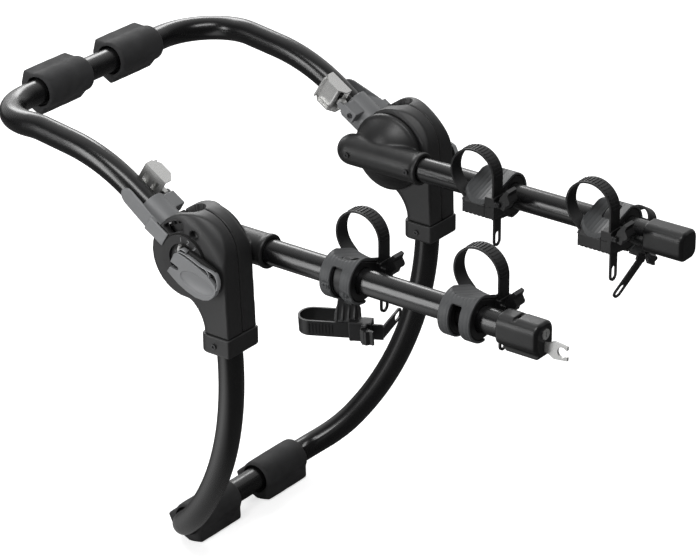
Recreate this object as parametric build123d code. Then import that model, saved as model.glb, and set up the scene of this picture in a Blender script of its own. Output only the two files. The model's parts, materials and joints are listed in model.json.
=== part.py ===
from build123d import *
import os
from math import atan2, cos, degrees, radians, sin, sqrt, tan

os.makedirs("parts", exist_ok=True)

# Folding two-arm carrier for a car's rear door. Millimetres, +Z up, +Y toward the car, +X right.
# Everything is built about the hub axis and moved once, so that the origin lies between the lower
# pads in the plane of their flat faces. Right-hand pieces are built at +X and mirrored to the left.

# Frame tubes
TUBE_OD = 31.8
TUBE_WALL = 2.0
HUB_X = 203.0
UPPER_TUBE_X = 202.0

# Lower hoop, measured from the hub axis to the crossbar centre
LOWER_DROP = 448.2
LOWER_FORWARD = 112.7
LOWER_START_DROP = 68.0
LOWER_POINT_SHARES = (
    (1.010, -0.350, -0.1517), (0.9542, -0.4437, -0.560), (0.7621, 0.5679, -0.9105), (0.6325, 1.0, -1.0)
)
LOWER_BEND_SHARES = (0.794, 0.498, 0.487)

# Upper hoop, measured from the hub axis to the crossbar centre
UPPER_REACH = 338.8
UPPER_RISE = 94.0
UPPER_KNEE = (150.1, 84.1)
UPPER_CROWN = (255.2, 98.9)
UPPER_TUBE_RAKE = 32.05
UPPER_TUBE_DROP = 8.4
UPPER_TUBE_START = 19.4
UPPER_BEND_SHARES = (0.478, 0.119, 0.870)

# Foam car pads
PAD_RADIUS = 21.0
PAD_DEPTH = 24.0
PAD_CORNER_DEPTH = 13.0
PAD_HALF_WIDTH = 27.5
PAD_FACE_HALF = 14.0
PAD_EDGE = 3.0
LOWER_PAD_SPAN = (26.0, 113.4)
UPPER_PAD_SPAN = (25.4, 110.5)
LOWER_PAD_TILT = 65.0
UPPER_PAD_TILT = 23.5

# Hub housing
HUB_OUTER = 28.0
HUB_INNER = 26.0
RIM_RADIUS = 51.0
CROWN_RADIUS = 52.5
CROWN_CENTRE = (-8.0, 6.0)
STEM_REAR = 64.5
STEM_FRONT = 22.0
STEM_DROP = 90.0
STEM_ROUND = 11.0
STEM_EDGE = 3.0
STEM_NECK_SHARES = ((0.118, -0.992), (-0.265, -1.275), (-0.431, -1.647))
DOME_CENTRE = (31.0, -41.0)
DOME_FACE_RADIUS = 94.0
DOME_INNER_RADIUS = 105.0
DOME_RADIUS = 114.0
DOME_DEPTH = 20.0
DOME_INNER_DEPTH = 9.0
SLOT_INNER = 19.0
SLOT_OUTER = 17.0
SLOT_FROM = -89.0
SLOT_TO = 66.0
PORT_RADIUS = 9.5
PORT_CENTRE = 6.0
PORT_DEPTH = 6.0
WINDOW_RADII = (33.5, 47.0)
WINDOW_ANGLES = (48.0, 86.0)
PEEP_CENTRE = (-15.0, 34.0)
PEEP_RADIUS = 5.8
PEEP_DEPTH = 7.0
COLLAR_HEIGHT = 25.0
COLLAR_PROUD = 1.75
COLLAR_CHAMFER = 2.5

# Hub axle, toothed knuckle, dial ring
AXLE_RADIUS = 8.0
AXLE_DEPTH = 5.0
KNUCKLE_RADIUS = 45.5
TOOTH_COUNT = 36
TOOTH_DEPTH = 4.0
DIAL_RADII = (20.7, 31.5)
DIAL_HEIGHT = 3.5
DIAL_RECESS = 2.5

# Grey hub lever
LEVER_PIN_AT = (3.0, 10.75)
LEVER_TURN = 200.6
LEVER_LENGTH = 71.0
LEVER_THICKNESS = 9.0
LEVER_LIFT = 0.6
LEVER_OUTLINE_SHARES = (
    (-0.07, 0.165), (-0.07, -0.165), (0.66, -0.199), (0.90, -0.199), (1.0, -0.05), (1.0, 0.20),
    (0.86, 0.38), (0.66, 0.495), (0.44, 0.52), (0.20, 0.455), (0.055, 0.30), (0.055, 0.165),
)
LEVER_ROUND = 4.0
LEVER_THUMB_SHARES = (0.58, 0.215, 0.31, 0.165)
LEVER_THUMB_DEPTH = 3.0
LEVER_RAIL_SHARES = (0.16, 0.84, -0.165, -0.085)
LEVER_RAIL_DEPTH = 6.0
LEVER_FORK_GAP = 10.8
LEVER_POST_WIDTH = 10.0
LEVER_PIN_RADIUS = 2.2
LEVER_PIN_LENGTH = 23.0

# Grey reel housing on the upper leg: distances along the tube from the hub axis
REEL_FROM = 54.0
REEL_TO = 87.0
REEL_RADIUS = 21.0
REEL_GAP = 1.5
TAIL_TO = 120.0
TAIL_WIDTH = 27.0
TAIL_CENTRE = -13.0
TAIL_OUT = 28.0
TAIL_POCKET_DEPTH = 7.0
TAIL_WALL = 2.4
POINTER_FROM = 33.2
POINTER_WIDTH = 20.0
POINTER_THICKNESS = 2.2
POINTER_LIFT = 0.5
REEL_SLOT = (10.0, 2.6, 4.0)
REEL_SLOT_AT = (60.0, 215.0)
BRACKET_SPAN = (62.0, 84.0)
BRACKET_HALF = 7.5
BRACKET_OUT = 33.0

# Bright buckle beside the reel housing
BUCKLE_LENGTH = 35.5
BUCKLE_STEP = 2.5
BUCKLE_NORMALS = (-17.0, 20.0)
BUCKLE_X = (-38.0, -18.4)
BUCKLE_SHEET = 1.6
BUCKLE_PIN_RADIUS = 2.5
BUCKLE_HUB_RADIUS = 4.5
BUCKLE_PIN_GAP = 1.0
BUCKLE_LUG_X = (-29.0, -22.6)
BRACKET_PLATE = 3.4
HANDLE_PIN_SHARE = 0.34
HANDLE_PIN_RADIUS = 2.0
HANDLE_SHEET = 2.0

# Arms
ARM_X = 153.8
ARM_REACH = 430.0
ARM_START = 42.0
CARRIER_RADIUS = 51.5
CARRIER_THICKNESS = 8.0
CARRIER_GAP = 0.5
CARRIER_ROUND = 4.0
DOME_HEIGHT = 19.0
DOME_PEAK = 25.0
DOME_RIM_SHARE = 0.8
DOME_TOP_RADIUS = 25.0
BOSS_RADIUS = 20.5
BOSS_FRONT = 62.0
BOSS_REAR = 70.0
BOSS_LIP = 1.2
BOSS_LIP_LENGTH = 6.0
BOSS_SCREWS_AT = (36.0, -57.0)
CAP_GRIP = 24.0
CAP_NOSE = 32.0
CAP_WIDTH = 35.5
CAP_HEIGHT = 38.0
CAP_ROUND = 12.0
CAP_END_ROUND = 3.0
CAP_KEEL = 24.5
CAP_KEEL_WIDTH = 22.0
CAP_KEEL_RAMP = 8.0
CAP_SLOT = (4.5, 3.0)
CAP_SLOT_SHARE = 0.40
CAP_SCREW_GAP = 15.0

# Cable lock
LOCK_RADIUS = 6.6
LOCK_AT = (2.0, 4.5)
LOCK_LENGTH = 16.0
LOCK_PROUD = 0.8
LOCK_KEYWAY = (1.4, 7.0, 2.5)
FORK_THICKNESS = 3.2
FORK_HEIGHT = 22.0
FORK_REACH = 30.0
FORK_SHANK = 14.0
FORK_SHANK_HEIGHT = 12.0
FORK_AT = (2.0, -11.5)
FORK_NOTCH_RADIUS = 6.4
FORK_MOUTH = 8.5

# Screws
SCREW_HEAD_RADIUS = 3.4
SCREW_HEAD_HEIGHT = 2.0
SCREW_SHANK_RADIUS = 1.9
SCREW_LENGTH = 7.0
SCREW_HEX_ACROSS = 3.0
SCREW_HEX_DEPTH = 1.2

# Cradles: u runs outward from the arm axis, w toward the car
CRADLE_ROWS = (-186.0, -356.0)
CRADLE_WIDTH = 43.0
SADDLE_WIDTH = 46.0
SADDLE_RADIUS = 30.0
SADDLE_THICKNESS = 4.5
SADDLE_TONGUE = 51.0
SADDLE_TONGUE_RISE = 7.0
SADDLE_END_ANGLE = -100.0
SADDLE_EDGE = 1.6
VALLEY_DEPTH = 8.5
VALLEY_TILT = 19.0
CRADLE_BLOCK_DROP = 15.0
CRADLE_TOOTH_COUNT = 7
CRADLE_TOOTH = 2.2
RING_SLOT_ANGLES = (-112.0, 42.0)
RING_SLOT_WIDTH = 13.0

# Ratchet straps on the cradles
STRAP_WIDTH = 20.0
STRAP_THICKNESS = 2.4
STRAP_IN = 37.7
STRAP_LOOP_RADIUS = 31.3
STRAP_LOOP_CENTRE = (8.0, 38.0)
STRAP_ENTRY_ANGLE = -45.0
STRAP_ENTRY_LENGTH = 17.0
STRAP_TAIL_DROP = 54.0
STRAP_TAIL_WIDTH = 14.8
STRAP_EYE = (8.6, 17.0)
STRAP_EYE_WALL = 3.0
STRAP_RIDGE_COUNT = 15
STRAP_RIDGE_ANGLES = (62.0, 176.0)
STRAP_RIDGE = (1.5, 0.9)
STRAP_RIDGE_WIDTH = 14.0

# Ratchet housing and its thumb tab
RATCHET_WIDTH = 25.0
RATCHET_TOP = 14.0
RATCHET_BOTTOM = -14.0
RATCHET_EAR = 3.2
RATCHET_GUIDE = 4.0
TAB_PIN_AT = (-8.2, 6.0)
TAB_PIN_RADIUS = 1.7
TAB_BARREL_RADIUS = 3.4
TAB_LENGTH = 20.0
TAB_OUTLINE_SHARES = (
    (0.02, 0.16), (-0.12, 0.55), (-0.53, 1.08), (-0.74, 0.98), (-0.62, 0.68), (-0.80, 0.34), (-0.74, 0.16),
    (-0.50, 0.02), (-0.38, -0.30), (-0.20, -0.26), (0.0, -0.14),
)

# Anti-sway holders
SWAY_RING_RADIUS = 23.8
SWAY_RING_WIDTH = 12.0
SWAY_NECK_WIDTH = 11.0
SWAY_NECK_DROP = 35.0
SWAY_YAWS = (24.0, 90.0)
SWAY_TILTS = (-5.0, 60.0)
SWAY_BAND_ENDS = (65.0, 33.0)
SWAY_TAIL_TURNS = (-40.0, -32.0)
SWAY_TAIL_TIPS = ((-40.0, -50.0), (-7.0, -84.0))
SWAY_HEAD_SPAN = (-9.0, 20.0)
SWAY_HEAD_FACES = (-12.0, 10.5)
SWAY_HEAD_TOP = 32.0
SWAY_HEAD_TOP_SHARE = 0.62
SWAY_BAND_TOP = 56.0
SWAY_RIB_COUNT = 4
SWAY_RIB = (1.8, 1.8)
SWAY_BAND_NEAR = 11.9
SWAY_BAND_FAR = -19.5
SWAY_BAND_BEND = 15.6
SWAY_RIDGE_STEP = 4.0
SWAY_RIDGE_COUNTS = (8, 0)
SWAY_CLASP_AT = -13.0
SWAY_TAB_SHARE = 0.62

# Clearances between moving pieces, and how far cutters run past what they cut
RUNNING = 0.05
GAP = 0.4
CUT = 1.0

# Derived
TUBE_R = TUBE_OD / 2
OUTER_X = HUB_X + HUB_OUTER
CAP_FROM = ARM_REACH - CAP_GRIP
CAP_TO = ARM_REACH + CAP_NOSE
BUCKLE_PIN_AT = REEL_TO + BUCKLE_PIN_GAP
BUCKLE_FROM = BUCKLE_PIN_AT + BUCKLE_STEP
BUCKLE_SPAN = (BUCKLE_FROM, BUCKLE_FROM + BUCKLE_LENGTH)
INNER_X = HUB_X - HUB_INNER
AXLE_END = ARM_X + TUBE_OD / 2 + GAP
SLOT_X = (HUB_X - SLOT_INNER, HUB_X + SLOT_OUTER)
RAKE = radians(UPPER_TUBE_RAKE)
LOWER_PAD_DIR = (cos(radians(LOWER_PAD_TILT)), -sin(radians(LOWER_PAD_TILT)))
UPPER_PAD_DIR = (cos(radians(UPPER_PAD_TILT)), -sin(radians(UPPER_PAD_TILT)))
HUB_TO_ORIGIN = (
    0,
    -(LOWER_FORWARD + PAD_DEPTH * LOWER_PAD_DIR[0]),
    LOWER_DROP - PAD_DEPTH * LOWER_PAD_DIR[1],
)
BAND_R = STRAP_THICKNESS / 2


def save(name, solid):
    moved = Pos(*HUB_TO_ORIGIN) * solid
    moved.label = name
    export_step(moved, f"parts/{name}.step")


def save_pair(name, solid):
    save(f"right_{name}", solid)
    save(f"left_{name}", mirror(solid, about=Plane.YZ))


def pair(solid):
    return [solid, mirror(solid, about=Plane.YZ)]


def group(solids):
    return Compound(children=[s for s in solids])


def side(x):
    return Plane(origin=(x, 0, 0), x_dir=(0, 1, 0), z_dir=(1, 0, 0))


def raked(x):
    return Plane(origin=(x, 0, 0), x_dir=(0, cos(RAKE), sin(RAKE)), z_dir=(1, 0, 0))


def slab(sketch, x_from, x_to):
    return extrude(side(x_from) * sketch, amount=x_to - x_from)


def raked_slab(sketch, x_from, x_to):
    return extrude(raked(x_from) * sketch, amount=x_to - x_from)


def beam(sketch, y_from, y_to):
    plane = Plane(origin=(0, y_from, 0), x_dir=(1, 0, 0), z_dir=(0, -1, 0))
    return extrude(plane * sketch, amount=y_from - y_to)


def rect(x0, x1, y0, y1):
    return Pos((x0 + x1) / 2, (y0 + y1) / 2) * Rectangle(abs(x1 - x0), abs(y1 - y0))


def block(x0, x1, y0, y1, z0, z1):
    return Pos((x0 + x1) / 2, (y0 + y1) / 2, (z0 + z1) / 2) * Box(abs(x1 - x0), abs(y1 - y0), abs(z1 - z0))


def sector(radius, start, end):
    steps = 6
    turn = (end - start) / steps
    reach = radius / cos(radians(turn / 2))
    rim = [(
        reach * cos(radians(start + turn * i)), reach * sin(radians(start + turn * i))
    ) for i in range(steps + 1)]
    return make_face(Polyline((0, 0), *rim, close=True))


def one(shape):
    solids = shape.solids()
    return solids.sort_by(SortBy.VOLUME)[-1]


def hoop_path(half, shares):
    points = list(half) + [(-x, y, z) for x, y, z in reversed(half)]
    runs = [(Vector(*points[i + 1]) - Vector(*points[i])).length for i in range(len(half))]
    runs[-1] = runs[-2]
    radii = []
    for i, share in enumerate(shares):
        before = Vector(*points[i + 1]) - Vector(*points[i])
        after = Vector(*points[i + 2]) - Vector(*points[i + 1])
        radii.append(share * runs[i + 1] / tan(radians(before.get_angle(after) / 2)))
    return FilletPolyline(*points, radius=radii + radii[::-1])


def tube_along(path, radius):
    start = Plane(origin=path @ 0, z_dir=path % 0)
    return sweep(start * Circle(radius), path=path)


def screw(at, direction):
    frame = Plane(origin=at, z_dir=direction)
    head = extrude(frame * Circle(SCREW_HEAD_RADIUS), amount=SCREW_HEAD_HEIGHT)
    shank = extrude(frame * Circle(SCREW_SHANK_RADIUS), amount=-SCREW_LENGTH)
    top = Plane(origin=frame.origin + frame.z_dir * SCREW_HEAD_HEIGHT, z_dir=direction)
    socket = extrude(
        top * RegularPolygon(SCREW_HEX_ACROSS / 2, 6, major_radius=False), amount=-SCREW_HEX_DEPTH
    )
    return one(head + shank - socket)


def seated(at, direction):
    frame = Plane(origin=at, z_dir=direction)
    return extrude(frame * Circle(SCREW_SHANK_RADIUS), amount=-SCREW_LENGTH)


# Hoops and pads
def lower_path():
    half = []
    for x_share, y_share, z_share in LOWER_POINT_SHARES:
        half.append((x_share * HUB_X, y_share * LOWER_FORWARD, z_share * LOWER_DROP))
    return hoop_path(half, LOWER_BEND_SHARES)


def upper_path():
    start = (
        UPPER_TUBE_START * cos(RAKE) + UPPER_TUBE_DROP * sin(RAKE),
        UPPER_TUBE_START * sin(RAKE) - UPPER_TUBE_DROP * cos(RAKE),
    )
    rows = (start, UPPER_KNEE, UPPER_CROWN, (UPPER_REACH, UPPER_RISE))
    return hoop_path([(UPPER_TUBE_X, y, z) for y, z in rows], UPPER_BEND_SHARES)


def hoop(path):
    return one(tube_along(path, TUBE_R) - tube_along(path, TUBE_R - TUBE_WALL))


def pad_profile(direction):
    back = Circle(PAD_RADIUS)
    body = make_face(
        Polyline(
            (0, PAD_RADIUS),
            (PAD_CORNER_DEPTH, PAD_HALF_WIDTH),
            (PAD_DEPTH, PAD_FACE_HALF),
            (PAD_DEPTH, -PAD_FACE_HALF),
            (PAD_CORNER_DEPTH, -PAD_HALF_WIDTH),
            (0, -PAD_RADIUS),
            close=True,
        )
    )
    turn = degrees(atan2(direction[1], direction[0]))
    return Rot(0, 0, turn) * (back + body)


def pad(centre, direction, span, rod):
    profile = Pos(*centre) * pad_profile(direction)
    solid = slab(profile, span[0], span[1])
    ends = solid.faces().filter_by(Axis.X)
    solid = chamfer(ends.edges(), PAD_EDGE)
    return one(solid - rod)


# Hub housing halves
def hub_outline():
    rim = Circle(RIM_RADIUS)
    crown = Pos(*CROWN_CENTRE) * Circle(CROWN_RADIUS)
    neck = [(y * RIM_RADIUS, z * RIM_RADIUS) for y, z in STEM_NECK_SHARES]
    edge = (
        Line((0, 0), neck[0])
        + ThreePointArc(neck[0], neck[1], neck[2])
        + Polyline(
            neck[2],
            (-STEM_FRONT, -STEM_DROP),
            (-STEM_REAR, -STEM_DROP),
            (CROWN_CENTRE[0] - CROWN_RADIUS, CROWN_CENTRE[1]),
            (0, 0),
        )
    )
    return rim + crown + make_face(edge)


def hub_dome():
    profile = make_face(
        Polyline(
            (INNER_X - CUT, 0),
            (INNER_X - CUT, DOME_INNER_RADIUS),
            (INNER_X, DOME_INNER_RADIUS),
            (INNER_X + DOME_INNER_DEPTH, DOME_RADIUS),
            (OUTER_X - DOME_DEPTH, DOME_RADIUS),
        )
        + ThreePointArc(
            (OUTER_X - DOME_DEPTH, DOME_RADIUS),
            (
                OUTER_X - DOME_DEPTH * (1 - sqrt(1 / 2)),
                DOME_FACE_RADIUS + (DOME_RADIUS - DOME_FACE_RADIUS) * sqrt(1 / 2)
            ),
            (OUTER_X, DOME_FACE_RADIUS),
        )
        + Polyline(
            (OUTER_X, DOME_FACE_RADIUS), (OUTER_X + CUT, DOME_FACE_RADIUS), (OUTER_X + CUT, 0),
            (INNER_X - CUT, 0)
        )
    )
    turned = revolve(profile, axis=Axis.X)
    return Pos(0, *DOME_CENTRE) * turned


def stem_box():
    rear = -STEM_REAR - CUT
    return block(INNER_X, OUTER_X, rear, RIM_RADIUS, -STEM_DROP - CUT, DOME_CENTRE[1])


def round_stem(body):
    edges = []
    for edge in body.edges():
        middle = edge @ 0.5
        inside = -STEM_DROP < middle.Z < STEM_NECK_SHARES[0][1] * RIM_RADIUS
        on_face = abs(middle.X - OUTER_X) < RUNNING or abs(middle.X - INNER_X) < RUNNING
        if inside and on_face and middle.Y > -(STEM_FRONT + STEM_REAR) / 2:
            edges.append(edge)
    return fillet(edges, STEM_ROUND)


def hub_body():
    outline = hub_outline()
    full = slab(outline, INNER_X, OUTER_X)
    full = round_stem(full)
    return (full & hub_dome()) + (full & stem_box())


def knuckle_room():
    disc = slab(Circle(KNUCKLE_RADIUS + 2 * GAP), SLOT_X[0], SLOT_X[1])
    sweep_room = slab(sector(CROWN_RADIUS + DOME_DEPTH, SLOT_FROM, SLOT_TO), SLOT_X[0], SLOT_X[1])
    return disc + sweep_room


def hub_cuts(rod):
    port = Pos(
        HUB_X + GAP, PORT_CENTRE, CROWN_CENTRE[1] + CROWN_RADIUS - PORT_DEPTH / 2
    ) * Cylinder(PORT_RADIUS, PORT_DEPTH + 2 * CUT)
    axle = slab(Circle(AXLE_RADIUS), INNER_X - CUT, OUTER_X - AXLE_DEPTH)
    return knuckle_room() + port + axle + rod


def hub_shells(rod):
    body = hub_body() - hub_cuts(rod)
    window = sector(WINDOW_RADII[1], *WINDOW_ANGLES) & Circle(WINDOW_RADII[1])
    window = window - Circle(WINDOW_RADII[0])
    outer = body & block(
        HUB_X, OUTER_X + CUT, -2 * CROWN_RADIUS, 2 * CROWN_RADIUS, -2 * STEM_DROP, 2 * CROWN_RADIUS
    )
    inner = body & block(
        INNER_X - CUT, HUB_X, -2 * CROWN_RADIUS, 2 * CROWN_RADIUS, -2 * STEM_DROP, 2 * CROWN_RADIUS
    )
    outer -= slab(window, SLOT_X[1] - CUT, OUTER_X + CUT)
    outer -= slab(Pos(*PEEP_CENTRE) * Circle(PEEP_RADIUS), OUTER_X - PEEP_DEPTH, OUTER_X + CUT)
    outer -= slab(Circle(DIAL_RADII[0]), OUTER_X - DIAL_RECESS, OUTER_X + CUT)
    outer = one(outer) + lever_post()
    return one(outer), one(inner)


def lever_plane(x):
    turn = radians(LEVER_TURN)
    return Plane(origin=(x, *LEVER_PIN_AT), x_dir=(0, cos(turn), sin(turn)), z_dir=(1, 0, 0))


def lever_x():
    bottom = OUTER_X + DIAL_HEIGHT + LEVER_LIFT
    return bottom, bottom + LEVER_THICKNESS


def lever_post():
    bottom, top = lever_x()
    post = extrude(
        lever_plane(OUTER_X - DIAL_RECESS - CUT) * Rectangle(LEVER_POST_WIDTH, LEVER_POST_WIDTH),
        amount=top - OUTER_X + DIAL_RECESS
    )
    return one(post - lever_pin_hole(LEVER_PIN_RADIUS))


def lever_pin_plane():
    bottom, top = lever_x()
    turn = radians(LEVER_TURN)
    return Plane(origin=((bottom + top) / 2, *LEVER_PIN_AT), z_dir=(0, -sin(turn), cos(turn)))


def lever_pin_hole(radius):
    return extrude(lever_pin_plane() * Circle(radius), amount=LEVER_PIN_LENGTH / 2, both=True)


def cam_lever():
    bottom, top = lever_x()
    corners = [(a * LEVER_LENGTH, b * LEVER_LENGTH) for a, b in LEVER_OUTLINE_SHARES]
    outline = make_face(Polyline(*corners, close=True))
    outline = fillet(outline.vertices().sort_by(Axis.X)[4:], LEVER_ROUND)
    body = extrude(lever_plane(bottom) * outline, amount=LEVER_THICKNESS)
    cam = extrude(lever_pin_plane() * Circle(LEVER_THICKNESS / 2), amount=LEVER_LENGTH, both=True)
    cam += extrude(
        lever_plane(bottom) * rect(0, 2 * LEVER_LENGTH, -LEVER_LENGTH, LEVER_LENGTH), amount=LEVER_THICKNESS
    )
    body &= cam
    a, b, half_a, half_b = [share * LEVER_LENGTH for share in LEVER_THUMB_SHARES]
    thumb = extrude(
        lever_plane(top - LEVER_THUMB_DEPTH) * Pos(a, b) * Ellipse(half_a, half_b),
        amount=LEVER_THUMB_DEPTH + CUT
    )
    a0, a1, b0, b1 = [share * LEVER_LENGTH for share in LEVER_RAIL_SHARES]
    rail = extrude(lever_plane(top - LEVER_RAIL_DEPTH) * rect(a0, a1, b0, b1), amount=LEVER_RAIL_DEPTH + CUT)
    fork = extrude(
        lever_plane(bottom - CUT) * rect(
            -LEVER_LENGTH, LEVER_POST_WIDTH, -LEVER_FORK_GAP / 2, LEVER_FORK_GAP / 2
        ),
        amount=LEVER_THICKNESS + 2 * CUT
    )
    return one(body - thumb - rail - fork - lever_pin_hole(LEVER_PIN_RADIUS + RUNNING))


def collar(rod):
    low = -STEM_DROP - COLLAR_HEIGHT
    y0 = -STEM_REAR - COLLAR_PROUD
    y1 = -STEM_FRONT + COLLAR_PROUD
    sketch = rect(INNER_X - COLLAR_PROUD, OUTER_X + COLLAR_PROUD, y0, y1)
    sketch = fillet(sketch.vertices().group_by(Axis.Y)[-1], STEM_ROUND)
    sketch = fillet(sketch.vertices().group_by(Axis.Y)[0], STEM_EDGE)
    body = extrude(Plane.XY.offset(low) * sketch, amount=COLLAR_HEIGHT)
    body = chamfer(body.faces().sort_by(Axis.Z)[0].edges(), COLLAR_CHAMFER)
    return one(body - rod)


def collar_screws():
    height = -STEM_DROP - COLLAR_HEIGHT / 2
    middle = -(STEM_FRONT + STEM_REAR) / 2
    return [
        ((OUTER_X + COLLAR_PROUD, middle, height), (1, 0, 0)),
        ((INNER_X - COLLAR_PROUD, middle, height), (-1, 0, 0))
    ]


def axle():
    return one(slab(Circle(AXLE_RADIUS), AXLE_END, OUTER_X - AXLE_DEPTH))


def dial_ring():
    return one(slab(Circle(DIAL_RADII[1]) - Circle(DIAL_RADII[0]), OUTER_X, OUTER_X + DIAL_HEIGHT))


def knuckle(rod):
    pitch = radians(360 / TOOTH_COUNT)
    teeth = Circle(KNUCKLE_RADIUS)
    notch = rect(
        KNUCKLE_RADIUS - TOOTH_DEPTH, KNUCKLE_RADIUS + CUT, -pitch * KNUCKLE_RADIUS / 4,
        pitch * KNUCKLE_RADIUS / 4
    )
    for i in range(TOOTH_COUNT):
        teeth -= Rot(0, 0, 360 / TOOTH_COUNT * i) * notch
    body = slab(teeth, SLOT_X[0] + GAP, SLOT_X[1] - GAP)
    bore = slab(Circle(AXLE_RADIUS + RUNNING), SLOT_X[0] - CUT, SLOT_X[1] + CUT)
    return one(body - bore - rod)


# Grey reel housing, its bracket, tail and pointer
def reel_sleeve():
    frame = Plane(
        origin=raked(UPPER_TUBE_X).from_local_coords((REEL_FROM - REEL_RADIUS / 2, -UPPER_TUBE_DROP, 0)),
        z_dir=(0, cos(RAKE), sin(RAKE))
    )
    return extrude(frame * Circle(REEL_RADIUS), amount=REEL_TO - REEL_FROM + REEL_RADIUS / 2)


def reel_housing(rod):
    sleeve = reel_sleeve()
    half = TAIL_WIDTH / 2
    low = REEL_FROM
    out = HUB_X + TAIL_OUT
    outline = rect(
        low, TAIL_TO - half, TAIL_CENTRE - half, TAIL_CENTRE + half
    ) + Pos(TAIL_TO - half, TAIL_CENTRE) * Circle(half)
    tail = raked_slab(outline, UPPER_TUBE_X + TUBE_R / 2, out)
    pocket_half = half - TAIL_WALL
    pocket = rect(
        REEL_TO, TAIL_TO - half, TAIL_CENTRE - pocket_half, TAIL_CENTRE + pocket_half
    ) + Pos(TAIL_TO - half, TAIL_CENTRE) * Circle(pocket_half)
    tail -= raked_slab(pocket, UPPER_TUBE_X, out - TAIL_WALL)
    pointer_x = OUTER_X + POINTER_LIFT
    pointer_half = POINTER_WIDTH / 2
    pointer = raked_slab(
        rect(POINTER_FROM, REEL_FROM + REEL_RADIUS / 2, -pointer_half, pointer_half), pointer_x,
        pointer_x + POINTER_THICKNESS
    )
    pointer -= raked_slab(Circle(POINTER_FROM), pointer_x - CUT, pointer_x + POINTER_THICKNESS + CUT)
    bridge = raked_slab(
        rect(REEL_FROM, REEL_FROM + REEL_RADIUS / 2, TAIL_CENTRE, pointer_half), out - CUT,
        pointer_x + POINTER_THICKNESS
    )
    bracket = raked_slab(
        rect(BRACKET_SPAN[0], BRACKET_SPAN[1], -BRACKET_HALF, BRACKET_HALF), HUB_X - BRACKET_OUT,
        UPPER_TUBE_X
    )
    body = sleeve + tail + bridge + bracket
    plate_x = HUB_X - BRACKET_OUT
    plate = rect(
        BRACKET_SPAN[0], BUCKLE_PIN_AT, -BUCKLE_HUB_RADIUS, BUCKLE_HUB_RADIUS
    ) + Pos(*buckle_pin()) * Circle(BUCKLE_HUB_RADIUS)
    room = slab(Circle(RIM_RADIUS + REEL_GAP), INNER_X - BRACKET_OUT, pointer_x - CUT / 4)
    body = body - room + pointer
    body -= bracket_gap()
    body += raked_slab(plate, plate_x, plate_x + BRACKET_PLATE)
    body += raked_slab(
        Pos(*buckle_pin()) * Circle(BUCKLE_PIN_RADIUS), plate_x + BRACKET_PLATE / 2, HUB_X + BUCKLE_LUG_X[1]
    )
    body -= reel_slot()
    return one(body - rod)


def bracket_gap():
    hub = BUCKLE_HUB_RADIUS + GAP
    gap = Pos(*buckle_pin()) * Circle(hub)
    return raked_slab(gap, HUB_X - BRACKET_OUT + BRACKET_PLATE, HUB_X + BUCKLE_LUG_X[1] + GAP)


def reel_slot():
    along, wide, deep = REEL_SLOT
    t, angle = REEL_SLOT_AT
    box = Box(along, wide, 2 * deep)
    frame = Plane(
        origin=raked(UPPER_TUBE_X).from_local_coords((t + along, -UPPER_TUBE_DROP, 0)),
        x_dir=(0, cos(RAKE), sin(RAKE)), z_dir=(1, 0, 0)
    )
    return frame * (Rot(angle, 0, 0) * Pos(0, 0, -REEL_RADIUS) * box)


def bracket_screw():
    at = raked(HUB_X - BRACKET_OUT).from_local_coords((
        (BRACKET_SPAN[0] + BRACKET_SPAN[1]) / 2 - BRACKET_HALF / 2, 0, 0
    ))
    return tuple(at), (-1, 0, 0)


# Bright buckle: a sheet channel on a pin in the bracket, and its over-centre handle
def buckle_pin():
    return (BUCKLE_PIN_AT, 0)


def buckle_frame():
    t0, t1 = BUCKLE_SPAN
    n0, n1 = BUCKLE_NORMALS
    x0, x1 = [HUB_X + x for x in BUCKLE_X]
    corner = (t1 - t0) / 4
    flange = make_face(
        Polyline(
            (t0, x0 + corner), (t0, x1), (t1, x1), (t1, x0 + corner), (t1 - corner, x0), (t0 + corner, x0),
            close=True
        )
    )
    body = raked_slab(rect(t0, t1, n0, n1), x0, x1) - raked_slab(
        rect(t0 - CUT, t1 + CUT, n0 + BUCKLE_SHEET, n1 - BUCKLE_SHEET), x0 - CUT, x1 - BUCKLE_SHEET
    )
    keep = Plane(
        origin=raked(0).from_local_coords((0, n0 - CUT, 0)), x_dir=(0, cos(RAKE), sin(RAKE)),
        z_dir=(0, -sin(RAKE), cos(RAKE))
    )
    shape = Plane(origin=keep.origin, x_dir=keep.x_dir, z_dir=-keep.z_dir) * flange
    body &= extrude(shape, amount=-(n1 - n0 + 2 * CUT))
    window = (t1 - t0) / 4
    middle = (n0 + n1) / 2
    for share in (0.30, 0.72):
        t = t0 + share * (t1 - t0)
        body -= raked_slab(
            rect(t - window / 2, t + window / 2, middle - window, middle + window), x1 - 2 * BUCKLE_SHEET,
            x1 + CUT
        )
    lug_x = [HUB_X + x for x in BUCKLE_LUG_X]
    lug = raked_slab(
        Pos(*buckle_pin()) * Circle(BUCKLE_HUB_RADIUS) + rect(
            BUCKLE_PIN_AT, t0 + BUCKLE_HUB_RADIUS, -BUCKLE_HUB_RADIUS, BUCKLE_HUB_RADIUS
        ),
        *lug_x
    )
    lug += raked_slab(rect(t0, t0 + BUCKLE_HUB_RADIUS, -BUCKLE_HUB_RADIUS, BUCKLE_HUB_RADIUS), lug_x[0], x1)
    lug -= raked_slab(
        Pos(*buckle_pin()) * Circle(BUCKLE_PIN_RADIUS + RUNNING), lug_x[0] - CUT, lug_x[1] + CUT
    )
    return one(body + lug - handle_pin(HANDLE_PIN_RADIUS + RUNNING))


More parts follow.
